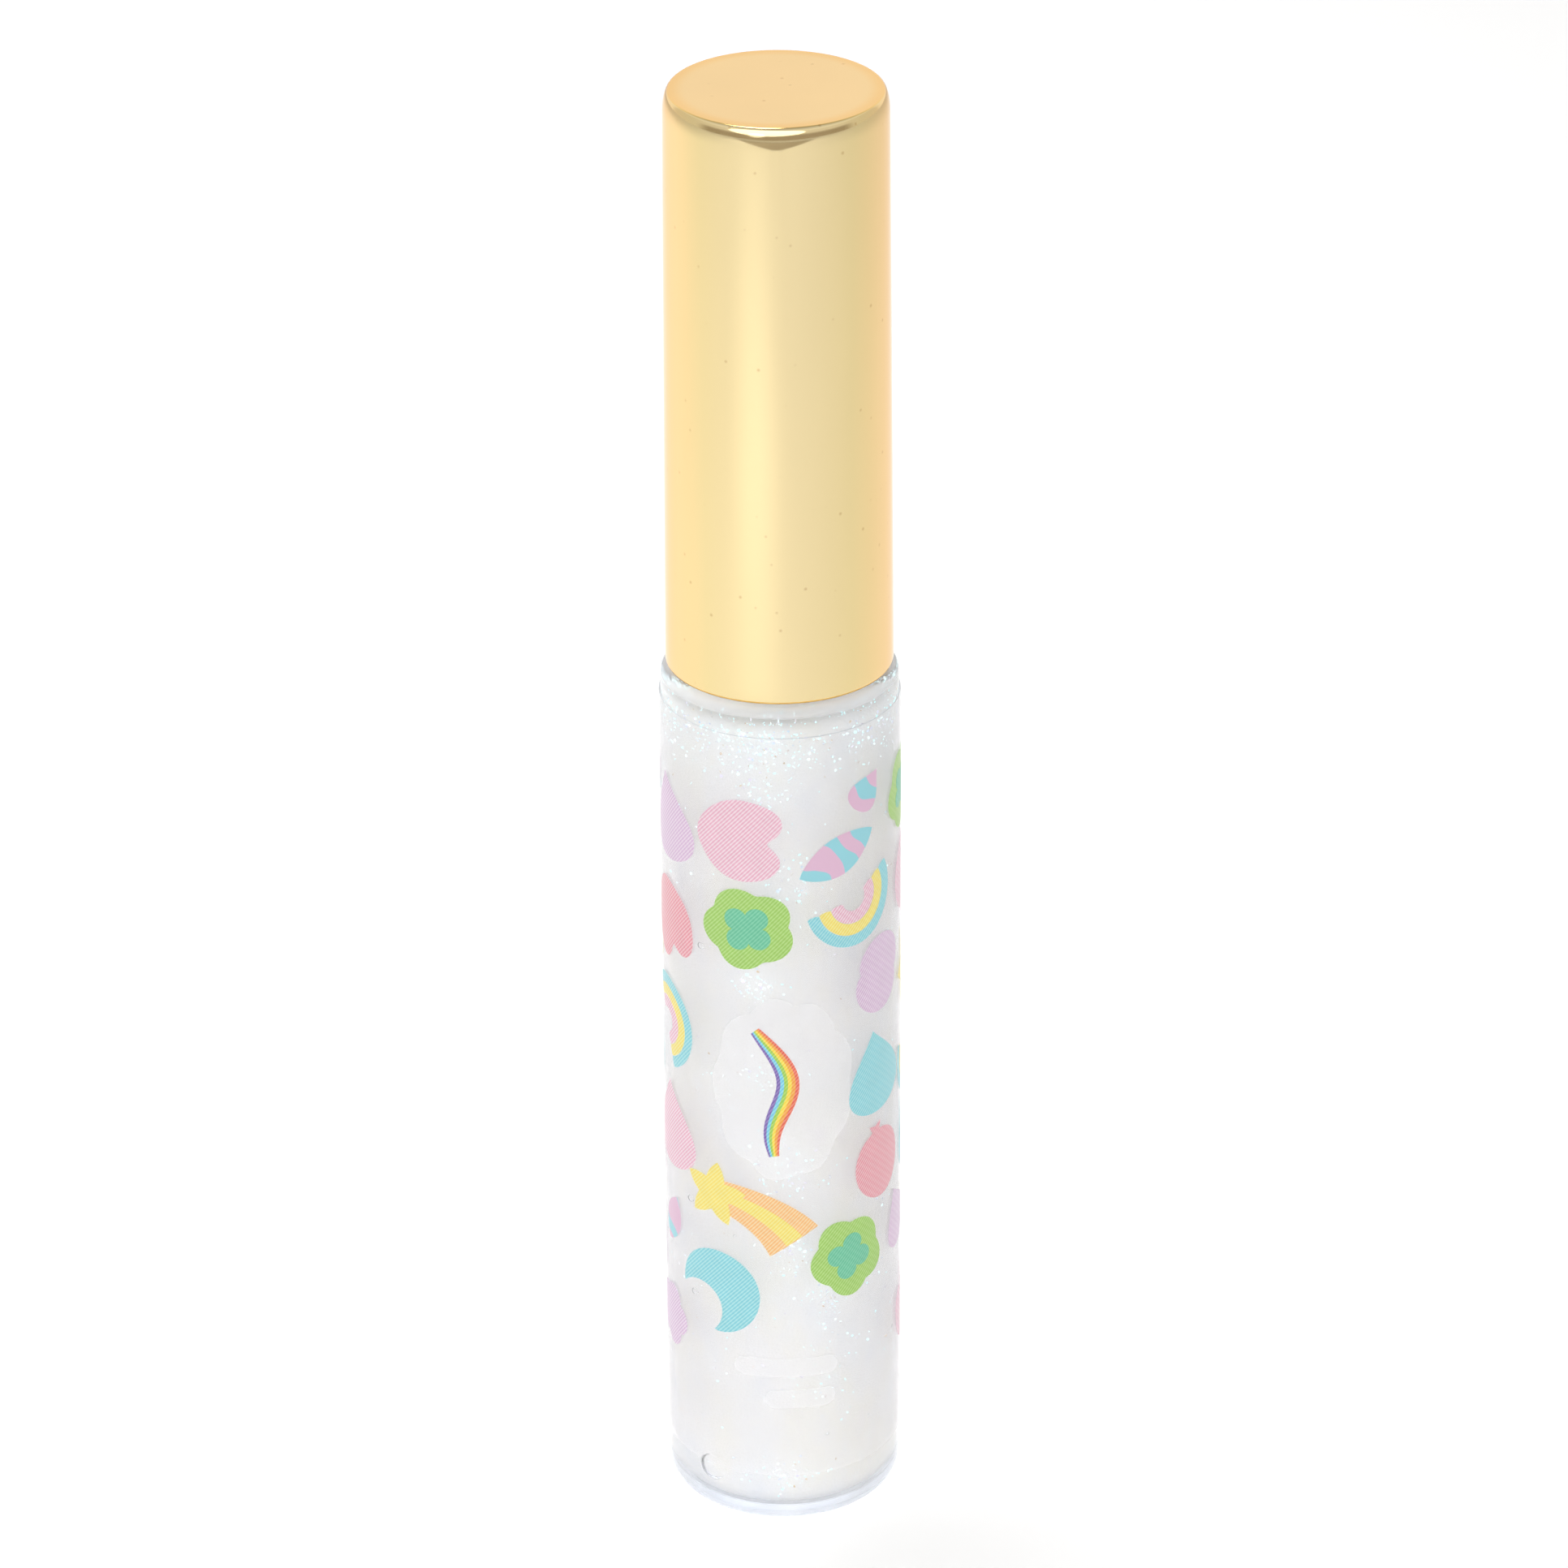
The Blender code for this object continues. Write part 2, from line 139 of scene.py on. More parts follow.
# ---- Cap and flock ----
CAP_FACETS = 192
CAP_DRAFT = 0.28 * MM
CAP_BORE = 6.9 * MM
CAP_ROOF = CAP_HIGH.z - 1.5 * MM
ROLL_WIDTH = 0.45 * MM
ROLL_HEIGHT = 1.55 * MM
ROLL_STEPS = 16
ROLL_RING = 0.06 * MM
LIP = 0.24 * MM
LIP_PAINT = 0.21 * MM
FIBRE_LENGTH = 0.13 * MM
FIBRE_WIDTH = 0.012 * MM
FIBRE_COUNT = 5000
CORE_OUTER = 1.5 * MM

# ---- Light and camera ----
WORLD_LIGHT = 0.90
WORLD_ZENITH = 0.45
BACK_GLOW = 1.10
SIDE_DIM = (0.80, 0.77, 0.73)
FRONT_DIM = (0.52, 0.47, 0.42)
FLOOR_SIZE = 3.0
FLOOR_PALE = 0.99
FLOOR_FAR = (0.44, 0.395, 0.35)
FLOOR_EDGE = (-0.285, -0.315)
FLOOR_SLANT = 0.9
FLOOR_BLUNT = 0.025
FLOOR_RETURN = (-1.25, -0.85)
FLOOR_FAR_SHARE = 0.25
# Name, place, size, power, point aimed at, spread in degrees
LIGHTS = [("soft_top", (-0.20, 0.30, 1.2), (0.5, 0.5), 0.47, (-0.10, 0.16, 0), 42),
          ("front_soft", (-0.14, -0.80, 0.50), (1.35, 0.56), 2.35, (0, 0, 0.05), 180),
          ("front_low", (-0.27, -0.76, 0.27), (0.24, 0.20), 0.10, (0, 0, 0.10), 180),
          ("front_left", (-0.085, -0.20, 0.60), (0.06, 0.06), 0.010, (-0.080, -0.19, 0), 20)]
CAMERA_SENSOR = 36.0
CAMERA_LENS = 165.1
CAMERA_DISTANCE = 0.5002
CAMERA_ELEVATION = 26.545
CAMERA_ROLL = 0.343
AIM_HEIGHT = 0.0555
SIDE_STEP = 0.256 * MM


# ---- material tools ----
def new_material(name):
    material = bpy.data.materials.new(name)
    material.use_nodes = True
    tree = material.node_tree
    return material, tree, tree.nodes["Principled BSDF"]


def give(tree, node, values):
    """Numbers, colours or other nodes' outputs for a node's sockets."""
    for name, value in values.items():
        if isinstance(value, bpy.types.NodeSocket):
            tree.links.new(value, node.inputs[name])
        else:
            node.inputs[name].default_value = value


def add_node(tree, kind, values=None, **options):
    node = tree.nodes.new(kind)
    for key, value in options.items():
        setattr(node, key, value)
    give(tree, node, values or {})
    return node


def object_coordinates(tree, stretch=(1, 1, 1)):
    source = add_node(tree, "ShaderNodeTexCoord")
    values = {"Scale": stretch, "Vector": source.outputs["Object"]}
    return add_node(tree, "ShaderNodeMapping", values).outputs["Vector"]


def noise(tree, vector, scale, detail=3.0, roughness=0.5):
    values = {"Scale": scale, "Detail": detail, "Roughness": roughness, "Vector": vector}
    return add_node(tree, "ShaderNodeTexNoise", values).outputs["Fac"]


def grain(tree, scale, detail=3.0, stretch=(1, 1, 1)):
    """Noise on the object's own coordinates."""
    return noise(tree, object_coordinates(tree, stretch), scale, detail)


def ramp(tree, factor, *stops):
    node = add_node(tree, "ShaderNodeValToRGB", {"Fac": factor})
    elements = node.color_ramp.elements
    while len(elements) < len(stops):
        elements.new(0.5)
    for element, (place, colour) in zip(elements, stops):
        element.position = place
        element.color = (*colour, 1.0)
    return node.outputs["Color"]


def fade(tree, value, start, end, low=0.0, high=1.0, kind="SMOOTHSTEP"):
    """Goes from low to high as value goes from start to end."""
    values = {"From Min": start, "From Max": end, "To Min": low, "To Max": high, "Value": value}
    return add_node(tree, "ShaderNodeMapRange", values, interpolation_type=kind).outputs["Result"]


def maths(tree, operation, *values):
    return add_node(tree, "ShaderNodeMath", dict(enumerate(values)), operation=operation).outputs[0]


def multiplied(tree, colour, layer, amount=1.0):
    values = {"Factor": amount, "A": colour, "B": layer}
    node = add_node(tree, "ShaderNodeMix", data_type="RGBA", blend_type="MULTIPLY")
    give(tree, node, values)
    return node.outputs["Result"]


def axes_of(tree, vector):
    return add_node(tree, "ShaderNodeSeparateXYZ", {"Vector": vector}).outputs


def facing(tree):
    return add_node(tree, "ShaderNodeLayerWeight", {"Blend": 0.5}).outputs["Facing"]


def bump(tree, height, strength, distance, shader):
    node = add_node(tree, "ShaderNodeBump", {"Strength": strength, "Distance": distance, "Height": height})
    tree.links.new(node.outputs["Normal"], shader.inputs["Normal"])


def grey(value):
    return (value, value, value)


def srgb(red, green, blue):
    """Linear colour from 0-255 display values."""
    def linear(value):
        value /= 255
        return value / 12.92 if value <= 0.04045 else ((value + 0.055) / 1.055) ** 2.4
    return (linear(red), linear(green), linear(blue))


# ---- materials ----
def clear_plastic_material():
    """Clear moulded plastic, duller low down where it rubs on things."""
    material, tree, shader = new_material("clear_plastic")
    place = object_coordinates(tree)
    dull = fade(tree, axes_of(tree, place)["Z"], 2.2 * MM, 0.6 * MM, 0.0, 0.22, "LINEAR")
    smear = ramp(tree, noise(tree, place, 240, 4.0), (0.35, grey(0.015)), (0.75, grey(0.07)))
    give(tree, shader, {"Base Color": (0.975, 0.982, 0.992, 1), "Transmission Weight": CLARITY, "IOR": 1.49,
                        "Roughness": maths(tree, "ADD", smear, dull)})
    bump(tree, grain(tree, 160, 2.0, (1, 1, 0.25)), 0.08, 0.05 * MM, shader)
    return material


def edge_plastic_material(name, clarity, dark, light, roughness):
    """The bottle's rounded base and shoulder, where the moulding is a little cloudier. The darker colour
    given for the base is also painted shade.
    """
    material, tree, shader = new_material(name)
    cloud = grain(tree, 420)
    give(tree, shader, {"Base Color": ramp(tree, cloud, (0.3, dark), (0.7, light)),
                        "Transmission Weight": clarity, "IOR": 1.45,
                        "Roughness": ramp(tree, cloud, (0.3, grey(roughness)), (0.7, grey(roughness * 2)))})
    return material


def wetted_wall_material():
    """The bottle's inner wall where gel of nearly the same index touches it."""
    material, tree, shader = new_material("wetted_wall")
    give(tree, shader, {"Base Color": (1, 1, 1, 1), "Transmission Weight": 1.0, "IOR": 1.01,
                        "Roughness": 0.0})
    return material


def gel_material():
    material, tree, shader = new_material("gel")
    cloud = grain(tree, 260, 4.0, (1, 1, 0.5))
    tint = ramp(tree, cloud, (0.3, (0.97, 0.975, 0.99)), (0.7, (1.0, 0.99, 0.985)))
    give(tree, shader, {"Base Color": tint, "Transmission Weight": 1.0, "IOR": 1.02, "Roughness": 0.0})
    return material


def gel_to_air_material(name, clarity, index, polished, worn):
    """Where gel meets air: its top, and bubbles softened by the pearl around them."""
    material, tree, shader = new_material(name)
    rough = ramp(tree, grain(tree, 700, 2.0), (0.3, grey(polished)), (0.8, grey(worn)))
    give(tree, shader, {"Base Color": (0.985, 0.99, 1.0, 1), "Transmission Weight": clarity, "IOR": index,
                        "Roughness": rough})
    return material


def lip_material():
    """The bare edge of the metallising, a deeper orange."""
    material, tree, shader = new_material("gold_lip")
    tint = ramp(tree, grain(tree, 900), (0.3, srgb(236, 186, 96)), (0.7, srgb(244, 200, 116)))
    give(tree, shader, {"Base Color": tint, "Metallic": 0.8, "Roughness": 0.3})
    return material


def haze_material():
    """Pearl powder held in the gel: nearly opaque, faintly pink, cyan and cream."""
    material, tree, shader = new_material("pearl_haze")
    cloud = noise(tree, object_coordinates(tree, (1, 1, 0.55)), 190, 5.0, 0.6)
    tint = ramp(tree, cloud, (0.25, srgb(232, 236, 246)), (0.45, srgb(246, 246, 248)),
                (0.6, srgb(250, 246, 240)), (0.8, srgb(244, 238, 246)))
    # The pearl's emission is painted light: it glows faintly in its own tint so that it looks lit through
    give(tree, shader, {"Base Color": tint, "Emission Color": tint, "Emission Strength": PEARL_PAINTED_GLOW,
                        "Subsurface Weight": 0.85, "Subsurface Radius": (1.0, 1.0, 1.0),
                        "Subsurface Scale": 2.5 * MM, "Roughness": 0.45, "IOR": 1.05})
    powder = add_node(tree, "ShaderNodeTexVoronoi", {"Scale": 5200, "Vector": object_coordinates(tree)})
    bump(tree, powder.outputs["Distance"], 0.35, 0.05 * MM, shader)
    return material


def film_material():
    """Clear film, showing more at a glancing angle."""
    material, tree, shader = new_material("clear_film")
    veil = ramp(tree, facing(tree), (0.0, grey(0.09)), (0.7, grey(0.14)), (0.95, grey(0.6)))
    give(tree, shader, {"Base Color": (*srgb(244, 243, 247), 1), "Alpha": veil, "Roughness": 0.12,
                        "IOR": 1.45})
    bump(tree, grain(tree, 420), 0.05, 0.02 * MM, shader)
    return material


def film_edge_material():
    """The cut edge of the film, a fine grey line."""
    material, tree, shader = new_material("film_edge")
    tint = ramp(tree, grain(tree, 700, 2.0), (0.3, srgb(206, 209, 216)), (0.7, srgb(222, 224, 229)))
    give(tree, shader, {"Base Color": tint, "Alpha": 0.75, "Roughness": 0.4})
    return material


def halftone(tree, angle, period):
    """Fine diagonal screen of the printing, on the film's own flat coordinates."""
    source = add_node(tree, "ShaderNodeUVMap", uv_map="print")
    turn = {"Rotation": (0, 0, math.radians(angle)), "Vector": source.outputs["UV"]}
    axes = axes_of(tree, add_node(tree, "ShaderNodeMapping", turn).outputs["Vector"])
    waves = []
    for axis, stretch in (("X", 1.0), ("Y", 0.5)):
        scaled = maths(tree, "MULTIPLY", axes[axis], math.tau / period * stretch)
        waves.append(maths(tree, "SINE", scaled))
    return maths(tree, "MULTIPLY_ADD", waves[1], 0.35, waves[0])


def ink_material(name, strong, pale, angle=42.0, period=0.21 * MM):
    material, tree, shader = new_material(name)
    screen = fade(tree, halftone(tree, angle, period), -0.9, 0.9, 0.0, 1.0, "LINEAR")
    colour = ramp(tree, screen, (0.25, strong), (0.8, pale))
    patch = grain(tree, 900)
    worn = ramp(tree, patch, (0.3, grey(0.96)), (0.7, grey(1.0)))
    give(tree, shader, {"Base Color": multiplied(tree, colour, worn),
                        "Roughness": ramp(tree, patch, (0.3, grey(0.28)), (0.7, grey(0.38))),
                        "Alpha": FROST if name == "ink_white" else 1.0})
    return material


def candy_material():
    """Pink ink with wavy blue stripes."""
    material, tree, shader = new_material("ink_candy")
    source = add_node(tree, "ShaderNodeUVMap", uv_map="print")
    values = {"Scale": 190, "Distortion": 3.5, "Detail": 0.0, "Detail Scale": 2.0,
              "Vector": source.outputs["UV"]}
    wave = add_node(tree, "ShaderNodeTexWave", values, wave_type="BANDS", bands_direction="DIAGONAL")
    colour = ramp(tree, wave.outputs["Fac"], (0.47, srgb(228, 190, 216)), (0.53, srgb(152, 217, 229)))
    give(tree, shader, {"Base Color": colour, "Roughness": 0.32})
    return material


def gold_rim(tree, place):
    """1 near the rim of the cap's flat top, 0 elsewhere."""
    flat = add_node(tree, "ShaderNodeVectorMath", {0: place, 1: (1, 1, 0)}, operation="MULTIPLY")
    reach = add_node(tree, "ShaderNodeVectorMath", {0: flat.outputs["Vector"]}, operation="LENGTH")
    rim = fade(tree, reach.outputs["Value"], CAP_RADIUS * 0.76, CAP_RADIUS * 0.90)
    top = maths(tree, "GREATER_THAN", axes_of(tree, place)["Z"], CAP_HIGH.z - 0.05 * MM)
    return maths(tree, "MULTIPLY", rim, top)


def gold_material():
    """Metallised plastic under tinted lacquer: paler face on, more orange at a glancing angle."""
    material, tree, shader = new_material("pale_gold")
    place = object_coordinates(tree)
    colour = ramp(tree, facing(tree), (0.08, srgb(251, 230, 178)), (0.3, srgb(243, 221, 163)),
                  (0.56, srgb(249, 215, 154)), (0.85, srgb(248, 198, 120)))
    soft = ramp(tree, grain(tree, 130, 3.0, (1, 1, 0.2)), (0.3, grey(0.96)), (0.7, grey(1.0)))
    edge_tint = ramp(tree, gold_rim(tree, place), (0.0, grey(1.0)), (1.0, (1.0, 0.90, 0.70)))
    specks = add_node(tree, "ShaderNodeTexVoronoi", {"Scale": 620, "Vector": place})
    dust = ramp(tree, specks.outputs["Distance"], (0.03, srgb(190, 150, 96)), (0.10, grey(1.0)))
    for layer, amount in ((soft, 1.0), (dust, 0.35), (edge_tint, 1.0)):
        colour = multiplied(tree, colour, layer, amount)
    rub = ramp(tree, grain(tree, 1400, 4.0, (1, 1, 0.06)), (0.3, grey(0.07)), (0.75, grey(0.13)))
    give(tree, shader, {"Base Color": colour, "Metallic": 1.0, "Roughness": rub})
    bump(tree, noise(tree, place, 3200, 4.0), 0.05, 0.01 * MM, shader)
    return material


def moulded_material(name, dark, light, roughness, see_through=0.0, scale=900):
    """Moulded plastic or foam: cloudy colour, uneven polish and a fine bumpy skin."""
    material, tree, shader = new_material(name)
    rough = ramp(tree, grain(tree, scale * 2), (0.3, grey(roughness - 0.06)), (0.7, grey(roughness + 0.08)))
    give(tree, shader, {"Base Color": ramp(tree, grain(tree, scale, 4.0), (0.3, dark), (0.7, light)),
                        "Roughness": rough, "Transmission Weight": see_through,
                        "Subsurface Weight": 0.0 if see_through else 0.15, "Subsurface Scale": 1 * MM})
    bump(tree, grain(tree, scale * 5, 4.0), 0.12, 0.02 * MM, shader)
    return material


def glitter_material():
    """Pearly flakes, each with its own tint and its own painted sparkle, which glows."""
    material, tree, shader = new_material("glitter")
    island = add_node(tree, "ShaderNodeNewGeometry").outputs["Random Per Island"]
    colour = ramp(tree, island, (0.0, srgb(178, 240, 250)), (0.25, srgb(200, 250, 255)),
                  (0.5, srgb(226, 246, 252)), (0.66, srgb(206, 226, 250)), (0.8, srgb(236, 222, 248)),
                  (0.9, srgb(240, 240, 246)), (0.975, srgb(226, 200, 164)))
    # The emission is painted sparkle: most flakes glow cyan-white so that they stand out from the pearl, the
    # rest only faintly
    painted_sparkle = ramp(tree, island, (0.0, (0.60, 1.0, 1.0)), (0.3, (0.72, 1.0, 1.0)), (0.55, (0.86, 1.0, 1.0)),
                (0.62, (0.30, 0.36, 0.42)), (0.9, (0.30, 0.28, 0.34)), (0.975, (0.2, 0.14, 0.08)))
    give(tree, shader, {"Base Color": colour, "Emission Color": painted_sparkle, "Emission Strength": GLITTER_PAINTED_SPARKLE,
                        "Metallic": 0.25, "Roughness": 0.25})
    return material


# ---- shapes ----
def link(name, mesh):
    piece = bpy.data.objects.new(name, mesh)
    bpy.context.scene.collection.objects.link(piece)
    return piece


def arc(centre_radius, centre_height, radius, start, end, steps=6):
    points = []
    for step in range(steps + 1):
        angle = math.radians(start + (end - start) * step / steps)
        points.append((centre_radius + radius * math.cos(angle), centre_height + radius * math.sin(angle)))
    return points


def lathe(name, outline, facets, paint=None, shape=None):
    """A closed body turned about Z from (radius, height) points that start and end on the axis.
    paint gives a face's material index from its middle's radius and height.
    shape moves a point before it is placed."""
    mesh = bmesh.new()
    rows = []
    for radius, height in outline:
        if radius == 0:
            rows.append([mesh.verts.new((0, 0, shape(0, height, 0)[1] if shape else height))])
            continue
        row = []
        for step in range(facets):
            angle = math.tau * step / facets
            r, z = shape(radius, height, angle) if shape else (radius, height)
            row.append(mesh.verts.new((r * math.cos(angle), r * math.sin(angle), z)))
        rows.append(row)
    for upper, lower in zip(rows, rows[1:]):
        for i in range(facets):
            j = (i + 1) % facets
            corners = [row[k % len(row)] for row, k in ((upper, i), (lower, i), (lower, j), (upper, j))]
            unique = list(dict.fromkeys(corners))
            if len(unique) > 2:
                face = mesh.faces.new(unique)
                if paint:
                    middle = face.calc_center_median()
                    face.material_index = paint(middle.to_2d().length, middle.z)
    bmesh.ops.recalc_face_normals(mesh, faces=mesh.faces)
    data = bpy.data.meshes.new(name)
    mesh.to_mesh(data)
    mesh.free()
    data.shade_smooth()
    data.set_sharp_from_angle(angle=math.radians(38))
    return link(name, data)


def dress(piece, body, slot, *materials):
    for material in materials:
        piece.data.materials.append(material)
    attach(piece, body)
    return piece


# ---- printing on the film: outlines about 1 across, except where a width is given ----
def on_label(across, up, radius):
    """Place on the wrapped film. across runs to the right from the front, up is the height."""
    angle = across / LABEL_RADIUS - math.pi / 2
    return (radius * math.cos(angle), radius * math.sin(angle), up)


def turned_outline(outline, across, up, turn, size=1.0):
    spin = math.radians(turn)
    placed = []
    for x, y in outline:
        placed.append((across + size * (x * math.cos(spin) - y * math.sin(spin)),
                       up + size * (x * math.sin(spin) + y * math.cos(spin))))
    return placed


def polar(reach, steps=72, squeeze=1.0):
    """An outline from its reach at each angle."""
    angles = [math.tau * step / steps for step in range(steps)]
    return [(reach(t) * math.cos(t), squeeze * reach(t) * math.sin(t)) for t in angles]


def heart():
    """A plump, bean-like heart with a blunt tip and round lobes."""
    def reach(t):
        from_notch = abs((t - math.pi / 2 + math.pi) % math.tau - math.pi)
        r = 0.47 - 0.19 * math.exp(-(from_notch / 0.30) ** 2)
        r += 0.04 * math.exp(-((from_notch - 0.72) / 0.42) ** 2)
        return r + 0.06 * math.exp(-((math.pi - from_notch) / 0.45) ** 2)
    return polar(reach)


def petals(count, depth):
    return polar(lambda t: 0.5 * (1 - depth + depth * abs(math.cos(count * t / 2)) ** 0.75))


def scallop(count, depth, squeeze=1.0):
    return polar(lambda t: 0.5 * (1 - depth * (1 - abs(math.sin(count * t / 2)))), squeeze=squeeze)


def drop(width=0.62, steps=48):
    angles = [math.tau * step / steps for step in range(steps)]
    return [(width * math.sin(t) * math.sin(t / 2) ** 1.4, 0.5 * math.cos(t)) for t in angles]


def balloon(steps=48):
    points = []
    for step in range(steps):
        t = -math.pi / 2 + 0.16 + (math.tau - 0.32) * step / (steps - 1)
        points.append((0.42 * math.cos(t), 0.06 + 0.46 * math.sin(t)))
    return points + [(0.10, -0.5), (0, -0.46), (-0.10, -0.5)][::-1]


def crescent(steps=28):
    """A thick moon, open to the right."""
    points = arc(0.08, 0, 0.5, 45, 315, steps)
    for step in range(steps + 1):
        t = math.radians(270 - 180 * step / steps)
        points.append((0.34 * math.cos(t) + 0.46, 0.31 * math.sin(t)))
    return points


def star(points_count=5, inner=0.52, corner=6):
    """A star with softly rounded points."""
    points = []
    for step in range(points_count * corner * 2):
        t = math.tau * step / (points_count * corner * 2)
        phase = abs(((t * points_count / math.tau) % 1) - 0.5) * 2
        r = 0.5 * (inner + (1 - inner) * phase ** 1.25)
        points.append((r * math.cos(t + math.pi / 2), r * math.sin(t + math.pi / 2)))
    return points


def band(inner, outer, start, end, steps=36):
    """A part of a ring with blunt, slightly rounded ends."""
    middle = (inner + outer) / 2
    half = (outer - inner) / 2

    def rounded(place, way):
        for side in (0.6 * way, 0.0, -0.6 * way):
            t = math.radians(place) + way * 0.25 * half / middle * math.sqrt(1 - side * side)
            points.append(((middle + side * half) * math.cos(t), (middle + side * half) * math.sin(t)))

    points = arc(0, 0, outer, start, end, steps)
    rounded(end, 1)
    points += arc(0, 0, inner, end, start, steps)
    rounded(start, -1)
    return points


def flare(inner, outer, start, end, steps=24):
    """A bent tail that starts wide and narrows to about half."""
    middle = (inner + outer) / 2
    far, near = [], []
    for step in range(steps + 1):
        t = math.radians(start + (end - start) * step / steps)
        half = (outer - inner) / 2 * (1 - 0.45 * step / steps)
        far.append(((middle + half) * math.cos(t), (middle + half) * math.sin(t)))
        near.append(((middle - half) * math.cos(t), (middle - half) * math.sin(t)))
    return far + near[::-1]


def pill(width, height, steps=10):
    radius = min(width, height) / 2
    x, y = width / 2 - radius, height / 2 - radius
    points = []
    for cx, cy, start in ((x, y, 0), (-x, y, 90), (-x, -y, 180), (x, -y, 270)):
        points += arc(cx, cy, radius, start, start + 90, steps)
    return points


def lens(width, height, steps=20):
    """A leaf shape with two pointed ends."""
    points = []
    for side in (1, -1):
        for step in range(steps):
            t = step / steps
            x = side * (0.5 - t) * width
            points.append((x, side * height / 2 * math.sin(math.pi * t) ** 0.8))
    return points


def stripe_middle(t):
    """The wavy stripe's middle line, from its top at 0 to its bottom at 1, in millimetres."""
    waves = ((1, 1.43), (2, 0.585), (3, -0.122))
    sway = sum(size * math.sin(count * math.pi * t) for count, size in waves)
    return Vector((-1.09 + 1.30 * t + sway, 5.0 - 9.9 * t))


def ribbon(offset, width, steps=40):
    """One colour of the wavy stripe, thinner towards its ends."""
    left, right = [], []
    for step in range(steps + 1):
        t = step / steps
        along = (stripe_middle(t + 0.01) - stripe_middle(t - 0.01)).normalized()
        across = Vector((-along.y, along.x))
        thin = 0.46 + 0.54 * math.sin(math.pi * min(1.0, t * 1.02)) ** 0.8
        for side, points in ((-0.5, left), (0.5, right)):
            points.append(tuple(stripe_middle(t) + across * (offset + side * width) * thin))
    return right + left[::-1]


def flat_ink(name, outlines):
    """Outlines of one colour, some with holes, filled flat in millimetres."""
    curve = bpy.data.curves.new(name, "CURVE")
    curve.dimensions = "2D"
    curve.fill_mode = "BOTH"
    for outline in outlines:
        spline = curve.splines.new("POLY")
        spline.points.add(len(outline) - 1)
        for point, (x, y) in zip(spline.points, outline):
            point.co = (x * PER_METRE, y * PER_METRE, 0, 1)
        spline.use_cyclic_u = True
    flat = link(name + "_flat", curve)
    graph = bpy.context.evaluated_depsgraph_get()
    graph.update()
    filled = bpy.data.meshes.new_from_object(flat.evaluated_get(graph))
    bpy.data.objects.remove(flat)
    shape = bmesh.new()
    shape.from_mesh(filled)
    bpy.data.meshes.remove(filled)
    bmesh.ops.remove_doubles(shape, verts=shape.verts, dist=1e-4)
    return shape


def cut_into_strips(shape):
    """Upright cuts, so that flat ink can bend round the film."""
    low = min(v.co.x for v in shape.verts)
    high = max(v.co.x for v in shape.verts)
    step = PRINT_STEP * PER_METRE
    cut = math.floor(low / step) * step
    while cut < high:
        bmesh.ops.bisect_plane(shape, geom=shape.verts[:] + shape.edges[:] + shape.faces[:],
                               plane_co=(cut, 0, 0), plane_no=(1, 0, 0), dist=1e-5)
        cut += step


def face_up(shape):
    """Turns every face up, and notes its flat coordinates for the printing's pattern."""
    bmesh.ops.recalc_face_normals(shape, faces=shape.faces)
    uv = shape.loops.layers.uv.new("print")
    for face in shape.faces:
        if face.normal.z < 0:
            face.normal_flip()
        for loop in face.loops:
            loop[uv].uv = (loop.vert.co.x / PER_METRE, loop.vert.co.y / PER_METRE)
    return uv


def wrap(shape, inner, uv):
    """Bends flat ink round the film, and closes it with a back and a rim."""
    flats = [(v, v.co.x / PER_METRE, v.co.y / PER_METRE) for v in shape.verts]
    back = bmesh.ops.duplicate(shape, geom=shape.faces[:] + shape.edges[:] + shape.verts[:])
    pairs = dict(back["vert_map"].items())
    for v, across, up in flats:
        v.co = on_label(across, up, inner + INK_THICKNESS)
        pairs[v].co = on_label(across, up, inner)
    for item in back["geom"]:
        if isinstance(item, bmesh.types.BMFace):
            item.normal_flip()
    front_faces = set(face for v, _, _ in flats for face in v.link_faces)
    rim = [edge for edge in shape.edges if len(edge.link_faces) == 1 and edge.link_faces[0] in front_faces]
    for edge in rim:
        a, b = edge.verts
        loop = edge.link_loops[0]
        if loop.vert == a:
            a, b = b, a
        side = shape.faces.new((a, b, pairs[b], pairs[a]))
        for corner in side.loops:
            source = loop if corner.vert in (loop.vert, pairs[loop.vert]) else loop.link_loop_next
            corner[uv].uv = source[uv].uv
    shape.normal_update()


def print_shapes(name, outlines, layer, material):
    """Ink of one colour, in a thin closed layer on the film."""
    shape = flat_ink(name, outlines)
    cut_into_strips(shape)
    uv = face_up(shape)
    wrap(shape, LABEL_RADIUS + INK_GAP + layer * (INK_GAP + INK_THICKNESS), uv)
    mesh = bpy.data.meshes.new(name)
    shape.to_mesh(mesh)
    shape.free()
    mesh.shade_smooth()
    mesh.set_sharp_from_angle(angle=math.radians(40))
    piece = link(name, mesh)
    piece.visible_shadow = False
    return dress(piece, "bottle", "printed_film", material)


